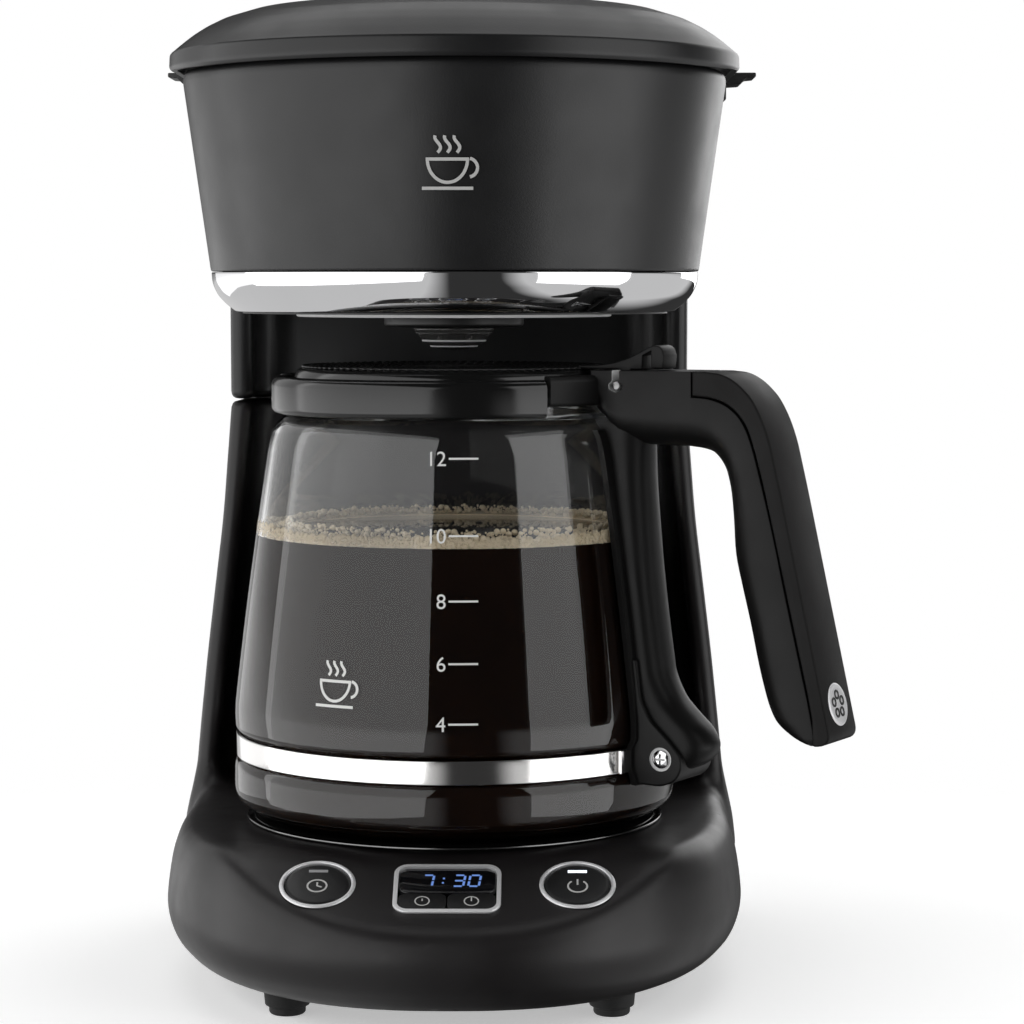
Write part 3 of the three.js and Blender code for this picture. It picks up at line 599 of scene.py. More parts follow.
def make_lower_housing():
    points, faces = isosurface(lower_field, (-102, -130, 3), (102, 118, 197), 1.6)
    obj = make_object("lower_housing_shell", points, faces, warm_black)
    room = inset(base_levels[2:8], WALL)
    room[-1] = (DECK - WALL, *room[-1][1:])
    room = [(BASE_BOTTOM - 3, 81.6, 108.6, 96), (BASE_BOTTOM + 3.2, 82.6, 109.6, 97), *room[1:]]
    base_room = skin("cutter", solid_levels(room), None, 96, nose=BASE_NOSE)
    lift = WALL / math.cos(SLOPE)
    carve(base_room, [slab("cutter", [(-150, -lift), (150, -lift), (150, 60), (-150, 60)], -90, -lift * 0.4, None,
                           on_panel)])
    shaft = [*inset(column_levels[1:6], WALL), (SEAM + 5, 79.2, 80, 102.5)]
    column_room = skin("cutter", solid_levels(shaft), None, 96)
    carve(column_room, [block((-120, -120, 0), (120, NICHE_BACK + WALL, 220))])
    cutters = [base_room, column_room, rod(66.3, 40, 70, (0, BREW_Y), steps=96)]
    cutters += [rod(11.2, -9, 9, (side * BUTTON_X, BUTTON_Y), on_panel) for side in (-1, 1)]
    cutters.append(slab("cutter", rounded_rectangle(DISPLAY_WIDTH - 1.4, DISPLAY_HEIGHT - 1.4, 4, (0, DISPLAY_Y)),
                        -9, 9, None, on_panel, plane="xy"))
    carve(obj, cutters)
    put(obj, "machine", "lower_housing", slot="warm_black")


def make_neck():
    points, faces = isosurface(neck_field, (-86, 40, 188), (86, 110, 242), 1.3)
    obj = make_object("neck_shell", points, faces, charcoal)
    shaft = skin("cutter", solid_levels([(180, 79.4, 80, 102.5), (245, 79.5, 80, 100.5)]), None, 96)
    carve(shaft, [block((-120, -120, 170), (120, NICHE_BACK + WALL, 250))])
    carve(obj, [shaft])
    put(obj, "machine", "neck_housing", slot="charcoal")


def make_head():
    outer = [(HEAD_BOTTOM, 82.9, 82.9, 103), (301.5, 91.9, 91.9, 106.4), (HEAD_TOP, 91, 91, 105)]
    inner = [(HEAD_TOP, 89, 89, 102.8), (300, 89.3, 89.3, 103.6), (HEAD_BOTTOM, 80.6, 80.6, 100.5)]
    head = skin("head_shell_skin", closed([*outer, *inner], 1.6, 5), charcoal, 224, ring=True)
    put(head, "machine", "head_shell", slot="charcoal")

    bowl_out = [(HEAD_BOTTOM - GAP, 82.7, 82.7, 100), (233.5, 82.4, 82.4, 99), (229.5, 80.6, 80.6, 98),
                (226.4, 77.6, 77.6, 96), (CHROME_BOTTOM, 74.6, 74.6, 94)]
    bowl_in = inset(bowl_out, 1.4)[::-1]
    bowl = skin("chrome_bowl", closed([*bowl_out, *bowl_in], 2.5, 6), chrome, 224, ring=True)
    carve(bowl, [block((-120, COLUMN_FRONT - GAP, 200), (120, 140, 260))])
    put(bowl, "machine", "chrome_trim", slot="chrome_trim")

    floor = skin("cutter", solid_levels([(CHROME_BOTTOM - 0.6, 72.3, 72.3, 150), (CHROME_BOTTOM + 1.8, 72.4, 72.4, 150)]),
                 inner_black, 160)
    floor.name = "head_underside"
    carve(floor, [block((-160, NICHE_BACK - GAP, 200), (160, 200, 260)), rod(24.7, 200, 260, (0, BREW_Y), steps=72)])
    for radius in (33, 52):
        rib = closed([(radius - 0.9, CHROME_BOTTOM - 1.6), (radius + 0.9, CHROME_BOTTOM - 1.6),
                      (radius + 1.1, CHROME_BOTTOM + 0.4), (radius - 1.1, CHROME_BOTTOM + 0.4)], 0.6)
        carve(floor, [lathe("cutter", rib, None, 96, ring=True)], "UNION")
    put(floor, "machine", "head_floor", slot="inner_black")


def hang_front(points):
    """Drops the front of the lid's skirt a little over the head's rim."""
    lowered = points.copy()
    near = np.clip((308 - points[:, 2]) / 3, 0, 1) * np.clip(-points[:, 1] / 50, 0, 1)
    lowered[:, 2] -= 1.5 * near
    return lowered


def make_lid():
    table = [(LID_BOTTOM, 95.6), (LID_BOTTOM + 0.8, 96.4), (309.8, 96.2), (310.6, 95.2), (313.3, 92), (316, 88.5),
             (318.6, 84.4), (321.3, 79), (324.4, 69), (326.6, 52), (327.6, 34), (LID_TOP, 0)]
    outer = [(z, r, r, r * 1.155) for z, r in table]
    inner = [(z, r, r, r * 1.155) for z, r in [(LID_TOP - 2.7, 0), (323.6, 60), (319, 78), (313, 88.6), (309.5, 93), (LID_BOTTOM, 93.4)]]
    dome = [outer[0], *rounded(outer, 2.2, 4)]
    under = rounded([*inner, (LID_BOTTOM, 94, 94, 108.4)], 3, 4)
    lid = skin("lid_shell", [*dome, *under], charcoal, 224, hang_front, ring=True)
    hinge_y, hinge_z = HINGE
    for side in (-1, 1):
        tab = closed([(hinge_z - 1, 98), (hinge_z + 4, 98), (hinge_z + 4, hinge_y + 2), (hinge_z - 1, hinge_y + 2)], 1)
        outline = [(y, z) for z, y in tab]
        near, far = sorted((side * 72, side * 96))
        across = lambda p: np.stack([p[:, 1], p[:, 0], p[:, 2]], axis=1)
        carve(lid, [slab("cutter", outline, near, far, None, across)], "UNION")
        hub = [(0, 84), (3, 84), (3.5, 84.5), (3.5, 95.5), (3, 96), (0, 96)]
        lay = lambda p: np.stack([side * p[:, 2], p[:, 0] + hinge_y, p[:, 1] + hinge_z], axis=1)
        carve(lid, [lathe("cutter", hub, None, 40, lay)], "UNION")
        carve(lid, [lathe("cutter", [(0, 86), (2.1, 86), (2.1, 120), (0, 120)], None, 32, lay)])
    put(lid, "lid", "top_lid", slot="charcoal")

    shower = [(0, 306.4), (37, 306.4), (38, 307.2), (38, 308.6), (36, 309.2), (12, 310.4), (6.4, 313), (6, 324.4),
              (0, 324.4)]
    head = lathe("shower_plate", rounded(shower, 1, 3), inner_black, 72)
    holes = [rod(1.1, 300, 312, (r * math.cos(2 * math.pi * k / n), BREW_Y + r * math.sin(2 * math.pi * k / n)), steps=12)
             for r, n in ((12, 6), (21, 10), (30, 14)) for k in range(n)]
    carve(head, holes)
    put(head, "lid", "shower_head", slot="inner_black")


def make_hinge_ears():
    hinge_y, hinge_z = HINGE
    for side, name in ((-1, "left"), (1, "right")):
        outline = [(70, 297), (92, 297.5), (98, 301.5), (98, 306.9), (103.4, 307.2), (105.6, 309.4), (109, 309.7),
                   (109, 311.4), (96.4, 311.4), (96.4, 301.6), (70, 300.4)]
        outline = [(side * x, z) for x, z in outline]
        ear = slab(f"hinge_ear_{name}_body", outline, 94, hinge_y + 4, inner_black, soften=0.5)
        keep_clear = [(z, a + GAP, b + GAP, c + GAP) for z, a, b, c in
                      [(HEAD_BOTTOM, 82.9, 82.9, 103), (301.5, 91.9, 91.9, 106.4), (309, 91.9, 91.9, 106.4)]]
        carve(ear, [skin("cutter", solid_levels(keep_clear), None, 160)])
        lay = lambda p: np.stack([side * p[:, 2], p[:, 0] + hinge_y, p[:, 1] + hinge_z], axis=1)
        carve(ear, [lathe("cutter", [(0, 88), (1.8, 88), (1.8, 97.6), (0, 97.6)], None, 32, lay)])
        put(ear, "machine", f"hinge_ear_{name}", slot="inner_black")
        pin = lathe(f"hinge_pin_{name}_rod", rounded([(0, 88), (1.6, 88), (1.6, 97.4), (0, 97.4)], 0.4, 3), steel, 32, lay)
        put(pin, "machine", f"hinge_pin_{name}", slot="steel")


# ---------- Underside, hotplate and gland ----------

def make_underside():
    foot = rounded([(0, 0), (5.2, 0), (5.9, 0.7), (5.9, 2.6), (7.2, 3), (7.6, 7.7), (0, 7.7)], 0.5, 3)
    for k, (x, y) in enumerate([(-52, -79.5), (52, -79.5), (-56, 74), (56, 74)]):
        shift = lambda p, x=x, y=y: p + np.array([x, y, 0])
        put(lathe(f"foot_pad_{k + 1}", foot, rubber, 48, shift), "machine", f"foot_{k + 1}", slot="rubber")
    for k, (x, y) in enumerate([(-62, -28), (62, -28), (-30, 84), (30, 84)]):
        shift = lambda p, x=x, y=y: p + np.array([x, y, 0])
        head = rounded([(0, 6.9), (2.2, 6.9), (3.2, 7.5), (3.2, 8.1), (0, 8.1)], 0.4, 3)
        screw = lathe(f"plate_screw_head_{k + 1}", head, steel, 32, shift)
        carve(screw, [block((-0.35, -1.6, 6), (0.35, 1.6, 7.5), shift), block((-1.6, -0.35, 6), (1.6, 0.35, 7.5), shift)])
        put(screw, "machine", f"plate_screw_{k + 1}", slot="steel")
    gland = closed([(2.6, 103), (5.6, 103), (5.6, 105.8), (4, 105.8), (4, 112.3), (5.6, 112.3), (5, 115), (2.6, 115)], 0.5)
    lay = lambda p: np.stack([p[:, 0] - 40, p[:, 2], p[:, 1] + 22], axis=1)
    put(lathe("cord_gland_ring", gland, rubber, 48, lay, ring=True), "machine", "cord_gland", slot="rubber")


def make_hotplate():
    plate = [(0, 51.7), (65.7, 51.7), (65.7, 53.8), (68, 53.8), (68, 54.6), (64, 54.6), (63, 54.2), (20, 54.2),
             (19, 54.5), (0, 54.5)]
    put(lathe("hotplate_disc", rounded(plate, 0.5, 3), hotplate_black, 128), "machine", "hotplate", slot="hotplate_coating")
    rim = closed([(68.3, 53.8), (70.4, 53.8), (70.4, 54.7), (68.3, 54.7)], 0.45, 4)
    put(lathe("hotplate_rim", rim, gunmetal, 128, ring=True), "machine", "hotplate_ring", slot="chrome_trim")


# ---------- Controls ----------

def panel_at(x, y):
    return lambda p: on_panel(p + np.array([x, y, 0]))


def stroke(name, lines, width, material, place, low=0.0, high=0.12):
    """Flat printed lines of one width; each line is a list of (x, y)."""
    points, faces = [], []
    for line in lines:
        line = np.array(line, float)
        along = np.gradient(line, axis=0)
        along /= np.linalg.norm(along, axis=1)[:, None]
        across = np.stack([-along[:, 1], along[:, 0]], axis=1) * width / 2
        left, right = line + across, line - across
        start, count = len(points), len(line)
        for level in (low, high):
            points += [(*p, level) for p in left] + [(*p, level) for p in right]
        for k in range(count - 1):
            a, b, c, d = (start + k + count * row for row in range(4))
            faces += [(a, a + 1, b + 1, b), (c, c + 1, d + 1, d), (a, a + 1, c + 1, c), (b, b + 1, d + 1, d)]
        for k in (0, count - 1):
            a, b, c, d = (start + k + count * row for row in range(4))
            faces.append((a, b, d, c))
    return make_object(name, points, faces, material, place, 30)


def arc(radius, start, end, centre=(0, 0), steps=24, squash=1.0):
    turns = np.linspace(math.radians(start), math.radians(end), steps)
    return [(centre[0] + radius * math.cos(t), centre[1] + radius * squash * math.sin(t)) for t in turns]


def make_buttons():
    ring = closed([(10.6, -2.6), (11.1, -2.6), (11.1, 0.0), (12, 0.1), (12, 0.5), (11.3, 0.95), (10.6, 0.7)], 0.3, 3)
    cap = [(0, -6.5), (10.3, -6.5), (10.3, 0.1), (9.4, 0.62), (6, 0.9), (0, 1)]
    clock = [arc(3, 0, 360, (0, -1.6), 40), [(0, 0.1), (0, -1.6), (1.5, -2.3)]]
    power = [arc(3, 128, 412, (0, -1.6), 36), [(0, 1.9), (0, -0.9)]]
    for side, name, symbol, lamp in ((-1, "timer", clock, lamp_dim), (1, "start", power, lamp_lit)):
        place = panel_at(side * BUTTON_X, BUTTON_Y)
        put(lathe(f"{name}_ring", ring, ring_silver, 96, place, ring=True), "machine", f"{name}_button_ring", slot="chrome_trim")
        button = lathe(f"{name}_cap", rounded(cap, 0.8, 4), charcoal, 96, place)
        put(button, f"{name}_button", f"{name}_button", slot="charcoal")
        lines = [fine(line) for line in symbol]
        mark = stroke(f"{name}_symbol", lines, 0.55, print_grey, place, 0.84, 1.06)
        put(mark, f"{name}_button")
        bar = stroke(f"{name}_lamp", [[(-3, 6), (0, 6), (3, 6)]], 1.3, lamp, place, 0.5, 0.95)
        put(bar, f"{name}_button")


def fine(line):
    """A line with short steps, so that its corners stay crisp when it is given a width."""
    out = []
    for (ax, ay), (bx, by) in zip(line, line[1:]):
        out += [(ax + (bx - ax) * t, ay + (by - ay) * t) for t in (0, 0.5)]
    return [*out, line[-1]]


SEGMENTS = {"0": "abcdef", "1": "bc", "3": "abcdg", "7": "abc"}


def digit_lines(text, left, base, width, height, pitch):
    """Seven-segment strokes for a time."""
    lines = []
    for place, sign in enumerate(text):
        x = left + place * pitch
        lean = lambda px, py: (px + 0.12 * (py - base), py)
        corner = {"tl": (x, base + height), "tr": (x + width, base + height), "ml": (x, base + height / 2),
                  "mr": (x + width, base + height / 2), "bl": (x, base), "br": (x + width, base)}
        ends = {"a": ("tl", "tr"), "b": ("tr", "mr"), "c": ("mr", "br"), "d": ("bl", "br"), "e": ("ml", "bl"),
                "f": ("tl", "ml"), "g": ("ml", "mr")}
        for segment in SEGMENTS.get(sign, ""):
            (ax, ay), (bx, by) = (corner[k] for k in ends[segment])
            shrink = 0.12
            a = lean(ax + (bx - ax) * shrink, ay + (by - ay) * shrink)
            b = lean(bx - (bx - ax) * shrink, by - (by - ay) * shrink)
            lines.append([a, ((a[0] + b[0]) / 2, (a[1] + b[1]) / 2), b])
        if sign == ":":
            for level in (0.3, 0.7):
                spot_y = base + height * level
                lines.append([lean(x + width / 2 - 0.3, spot_y), lean(x + width / 2 + 0.3, spot_y)])
    return lines


def make_display():
    outer = rounded_rectangle(DISPLAY_WIDTH, DISPLAY_HEIGHT, 4.7, (0, DISPLAY_Y))
    bezel = slab("display_bezel_frame", outer, -0.1, 0.9, ring_silver, on_panel, plane="xy", soften=0.35)
    inner = rounded_rectangle(DISPLAY_WIDTH - 2.8, DISPLAY_HEIGHT - 2.8, 3.4, (0, DISPLAY_Y))
    carve(bezel, [slab("cutter", inner, -5, 5, None, on_panel, plane="xy")])
    put(bezel, "machine", "display_bezel", slot="chrome_trim")

    screen_width, screen_height = DISPLAY_WIDTH - 2.8 - 2 * GAP, 12.4
    top = DISPLAY_Y + DISPLAY_HEIGHT / 2 - 1.4 - GAP
    screen = rounded_rectangle(screen_width, screen_height, 3, (0, top - screen_height / 2))
    window = slab("display_window_pane", screen, -2, 0.2, display_black, on_panel, plane="xy", soften=0.25)
    put(window, "machine", "display_window", slot="display_black")
    digits = digit_lines("7:30", -8.2, top - 9, 3.3, 5.6, 4.9)
    put(stroke("display_digits", digits, 0.72, digit_blue, on_panel, 0.16, 0.26), "machine")

    key_height = DISPLAY_HEIGHT - 2.8 - screen_height - 3 * GAP
    key_width = (screen_width - GAP) / 2
    key_y = DISPLAY_Y - DISPLAY_HEIGHT / 2 + 1.4 + GAP + key_height / 2
    for side, name, hand in ((-1, "hour", 1.1), (1, "minute", 1.9)):
        x = side * (key_width + GAP) / 2
        outline = rounded_rectangle(key_width, key_height, 2.6, (x, key_y))
        key = slab(f"{name}_key_cap", outline, -5, 0.45, charcoal, on_panel, plane="xy", soften=0.4)
        put(key, f"{name}_key", f"{name}_key", slot="charcoal")
        face = [fine(arc(2.2, 0, 360, (x, key_y), 30)), [(x, key_y), (x, key_y + hand / 2), (x, key_y + hand)]]
        put(stroke(f"{name}_key_mark", face, 0.4, print_grey, on_panel, 0.4, 0.5), f"{name}_key")


# ---------- Brew basket and drip stop ----------

def make_brewing():
    basket = [(20, 222.6), (22.6, 222.6), (22.6, 226.6), (46, 228), (60, 283), (65, 283), (65, 285), (59.8, 285),
              (44.4, 232.5), (6, 232.5), (6, 230.5), (20, 230.5)]
    obj = lathe("brew_basket_cup", closed(basket, 0.8, 3), inner_black, 96, ring=True)
    put(obj, "brew_basket", "brew_basket", slot="inner_black")
    cup = [(0, 241), (43, 241), (57.4, 285.3), (61.5, 285.3), (61.5, 286.4), (56.4, 286.4), (42, 242), (0, 242)]
    put(lathe("filter_mesh_cup", rounded(cup, 0.5, 3), filter_amber, 96), "brew_basket", "coffee_filter", slot="filter_amber")
    seat = closed([(14.6, 219), (22.8, 219), (23.5, 219.8), (23.5, 222.3), (14.6, 222.3)], 0.5, 3)
    put(lathe("drip_stop_ring", seat, inner_black, 72, ring=True), "brew_basket", "drip_stop_seat", slot="inner_black")
    plunger = [(0, 211), (4.4, 211.3), (8.2, 212.6), (11, 214.7), (12.9, 217), (13.6, 218), (13.6, 218.6), (12.4, 218.6),
               (4.2, 218.4), (4, 219), (4, 233), (9, 233), (9, 234.6), (0, 235.3)]
    nose = lathe("drip_stop_plunger", rounded(plunger, 1.2, 4), drip_smoke, 72)
    for radius, z in ((12.6, 216.8), (10.4, 214.3), (7.6, 212.5)):
        rib = closed([(radius, z - 0.4), (radius + 0.5, z - 0.1), (radius + 0.3, z + 0.5), (radius - 0.5, z + 0.4)], 0.2)
        carve(nose, [lathe("cutter", rib, None, 72, ring=True)], "UNION")
    put(nose, "drip_stop", "drip_stop", slot="clear_smoke")


# ---------- Carafe ----------

glass_outline = [
    (0, 55), (60, 55), (69, 57.2), (74, 61), (74.7, 65), (74.5, 72), (73.8, 74.2), (72.6, 75), (72.6, 83.1),
    (74.2, 84.8), (74.4, 91), (73.3, 101), (70.5, 124), (65.8, 158), (62.5, 180), (60.9, 185.6), (58, 188.4), (56.5, 190.4), (56.5, 198),
    (56, 199),
]
glass_curve = np.array(rounded(glass_outline, 9, 8))
GLASS_WALL = 2


def glass_radius(z):
    side = glass_curve[glass_curve[:, 0] > 59]
    upper = glass_curve[glass_curve[:, 1] > 190]
    table = np.concatenate([side, upper])
    order = np.argsort(table[:, 1], kind="stable")
    return np.interp(z, table[order, 1], table[order, 0])


inside_outline = [(max(0, r - GLASS_WALL), z) for r, z in glass_outline[3:-1]][::-1]
glass_inside = np.array(rounded([(54.4, 199), *inside_outline, (67.6, 59.2), (59.5, 57.2), (0, 57.2)], 8, 8))


def make_glass():
    profile = [*glass_curve, *glass_inside]
    put(lathe("carafe_glass_wall", profile, clear_glass, 192, place=in_carafe), "carafe", "carafe_glass", slot="carafe_glass")


def make_coffee():
    """Coffee that wets the glass, with a collar of bubbles where it meets the wall."""
    def wall(z):
        return float(np.interp(z, glass_inside[::-1][:, 1], glass_inside[::-1][:, 0])) + 0.1

    edge = COFFEE_TOP - 1.6
    wet = [(0, glass_inside[-1][1]), *((r + 0.1, z) for r, z in glass_inside[::-1] if r > 0 and z < edge)]
    top = wall(COFFEE_TOP)
    surface = [(wall(edge), edge), (top - 0.9, edge + 0.1), (top - 3, COFFEE_TOP - 0.5), (top - 8, COFFEE_TOP),
               (0, COFFEE_TOP)]
    put(lathe("coffee", [*wet, *surface], coffee_black, 160, place=in_carafe), "carafe")

    shuffle = random.Random(7)

    def froth(turn):
        """Height of the froth above its mean level round the wall."""
        return 0.7 * math.sin(2 * turn + 0.6) + 0.5 * math.sin(5 * turn + 1.1) + 0.25 * math.sin(11 * turn)

    beads = []
    for _ in range(6500):
        turn = shuffle.uniform(0, 2 * math.pi)
        size = shuffle.choice((0.3, 0.35, 0.4, 0.45, 0.5, 0.6, 0.75, 1.05))
        away = max(0.0, shuffle.random() * 2 - 0.9) ** 2 * 8
        height = COFFEE_TOP - 1.8 + away * 0.5 + shuffle.random() * max(0.9, 4 + froth(turn) - away * 0.7)
        out = top + 0.05 - size * 0.78 - away
        beads.append((out * math.cos(turn), out * math.sin(turn), height, size))
    put(sphere_cloud("coffee_foam_bubbles", beads, 2, foam_cream), "carafe")
    collar = [(top - 0.4, COFFEE_TOP - 1.8), (top - 0.4, COFFEE_TOP + 1.1), (top - 1.4, COFFEE_TOP + 1.1),
              (top - 4, COFFEE_TOP + 0.8), (top - 7.5, COFFEE_TOP + 0.2), (top - 7.5, COFFEE_TOP - 0.6), (top - 3, COFFEE_TOP - 1.4)]
    put(lathe("coffee_foam_ring", closed(collar, 0.5, 3), foam_cream, 160, in_carafe, ring=True), "carafe")


def sphere_cloud(name, spheres, detail, material, squash=1.0):
    """Many small beads as one mesh; each is (x, y, z, radius)."""
    bead = bmesh.new()
    bmesh.ops.create_icosphere(bead, subdivisions=detail, radius=1)
    shape = np.array([v.co for v in bead.verts]) * (1, 1, squash)
    sides = np.array([[v.index for v in f.verts] for f in bead.faces])
    bead.free()
    spheres = np.array(spheres)
    points = (shape[None] * spheres[:, None, 3:] + spheres[:, None, :3]).reshape(-1, 3)
    faces = (sides[None] + np.arange(len(spheres))[:, None, None] * len(shape)).reshape(-1, 3)
    return make_object(name, points, faces, material, in_carafe, 180)


def text_mesh(text, size):
    """Points and faces of flat lettering, centred on its left edge and baseline."""
    data = bpy.data.curves.new("text", "FONT")
    data.body = text
    data.size = size
    data.fill_mode = "BOTH"
    data.extrude = 0.05
    obj = bpy.data.objects.new("text", data)
    bpy.context.scene.collection.objects.link(obj)
    bpy.context.view_layer.update()
    mesh = obj.to_mesh()
    points = np.array([v.co for v in mesh.vertices])
    faces = [list(p.vertices) for p in mesh.polygons]
    obj.to_mesh_clear()
    bpy.data.objects.remove(obj)
    return points, faces


def make_marks():
    front = 0.0
    shift = lambda p: p + np.array([0, BREW_Y, 0])
    wrap = surface_place(glass_radius, front)
    for cups, z in (("12", 178), ("10", 153.7), ("8", 133.2), ("6", 113.6), ("4", 94.7)):
        points, faces = text_mesh(cups, 6.6)
        width = points[:, 0].max()
        flat = np.stack([points[:, 0] - 0.9 - width, points[:, 2] + 0.05, points[:, 1] + z - 2.3], axis=1)
        put(make_object(f"mark_number_{cups}", flat, faces, print_white, lambda p: shift(wrap(p)), 30), "carafe")
        line = [(x, z) for x in np.linspace(0, 9.4, 12)]
        flip = lambda p: shift(wrap(np.stack([p[:, 0], p[:, 2], p[:, 1]], axis=1)))
        put(stroke(f"mark_line_{cups}", [line], 0.62, print_white, flip, 0, 0.1), "carafe")


def cup_lines(scale):
    """A plain steaming cup, as strokes."""
    body = [*arc(5, 180, 360, (0, 0), 30, 1.15)]
    rim = [(x, 0) for x in np.linspace(-5.4, 5.4, 20)]
    ear = arc(2.3, -80, 80, (5.2, -2.1), 18)
    plate = [(x, -7.2) for x in np.linspace(-6.4, 6.4, 20)]
    steam = [[(x + 0.7 * math.sin(t * 5.2), 1.6 + 4.2 * t) for t in np.linspace(0, 1, 16)] for x in (-2.4, 0, 2.4)]
    return [[(x * scale, y * scale) for x, y in line] for line in (body, rim, ear, plate, *steam)]


def make_emblems():
    shift = lambda p: p + np.array([0, BREW_Y, 0])
    wrap = surface_place(glass_radius, math.radians(-30))
    onto = lambda p: shift(wrap(np.stack([p[:, 0], p[:, 2], p[:, 1] + 107], axis=1)))
    put(stroke("glass_cup_mark", cup_lines(1.1), 0.9, print_white, onto, 0, 0.1), "carafe")
    head_radius = lambda z: 83.4 + (z - HEAD_BOTTOM) * 9.4 / 64
    head_wrap = surface_place(head_radius, 0.0, 0.03)
    onto_head = lambda p: head_wrap(np.stack([p[:, 0], p[:, 2], p[:, 1] + 272], axis=1))
    put(stroke("head_cup_mark", cup_lines(1.25), 1.0, print_grey, onto_head, 0, 0.12), "machine")


def bezier(a, b, c, steps=12):
    a, b, c = (np.array(p, float) for p in (a, b, c))
    return [tuple((1 - t) ** 2 * a + 2 * t * (1 - t) * b + t ** 2 * c) for t in np.linspace(0, 1, steps)]


def smooth_path(points, steps=5):
    """A Catmull-Rom curve through points of any dimension."""
    p = np.array(points, float)
    p = np.vstack([2 * p[0] - p[1], p, 2 * p[-1] - p[-2]])
    out = []
    for a, b, c, d in zip(p, p[1:], p[2:], p[3:]):
        for t in np.linspace(0, 1, steps, endpoint=False):
            out.append(b + 0.5 * t * (c - a + t * (2 * a - 5 * b + 4 * c - d + t * (3 * (b - c) + d - a))))
    return [*out, p[-2]]


def strake(name, stations, round_depth, material, place=in_carafe):
    """A bar with one flat and one rounded long side.

    Each station is (flat u, flat z, rounded u, rounded z, half-width)."""
    rows = []
    for fu, fz, ru, rz, half in stations:
        flat, tip = np.array([fu, fz]), np.array([ru, rz])
        depth = np.linalg.norm(tip - flat)
        bend = min(round_depth, 0.7 * depth)
        side = [(0, half - 0.4), (0.12, half - 0.12), (0.4, half)]
        for t in np.linspace(0, math.pi / 2, 9):
            side.append((depth - bend + bend * math.sin(t), half - round_depth + round_depth * math.cos(t)
                         if half > round_depth else half * math.cos(t)))
        section = [(s_along, -w) for s_along, w in side] + [(s_along, w) for s_along, w in side[::-1]]
        along = (tip - flat) / depth
        rows.append([(*(flat + along * s_along), w) for s_along, w in section])
    count = len(rows[0])
    points = [(u, w, z) for row in rows for u, z, w in row]
    faces = []
    for k in range(len(rows) - 1):
        for j in range(count):
            a, b = k * count + j, k * count + (j + 1) % count
            faces.append((a, b, b + count, a + count))
    faces += [tuple(range(count)), tuple(range((len(rows) - 1) * count, len(rows) * count))]
    return make_object(name, points, faces, material, place, 42)


def reach(z):
    """How far out the handle's outer face is at a height."""
    return 120.9 + 0.228 * (188 - z)


ARM_TOP = 205.4
HANDLE_END = 88
seam_line = smooth_path([(94.2, 197.4), (101, 196.8), (106.2, 195.1), (110.4, 191.9), (113.6, 187.4), (115.8, 181.5),
                         (117.6, 175.5), (120.9, 163), (127.2, 136.6), (131.9, 117), (135, 104), (136.6, 96)])


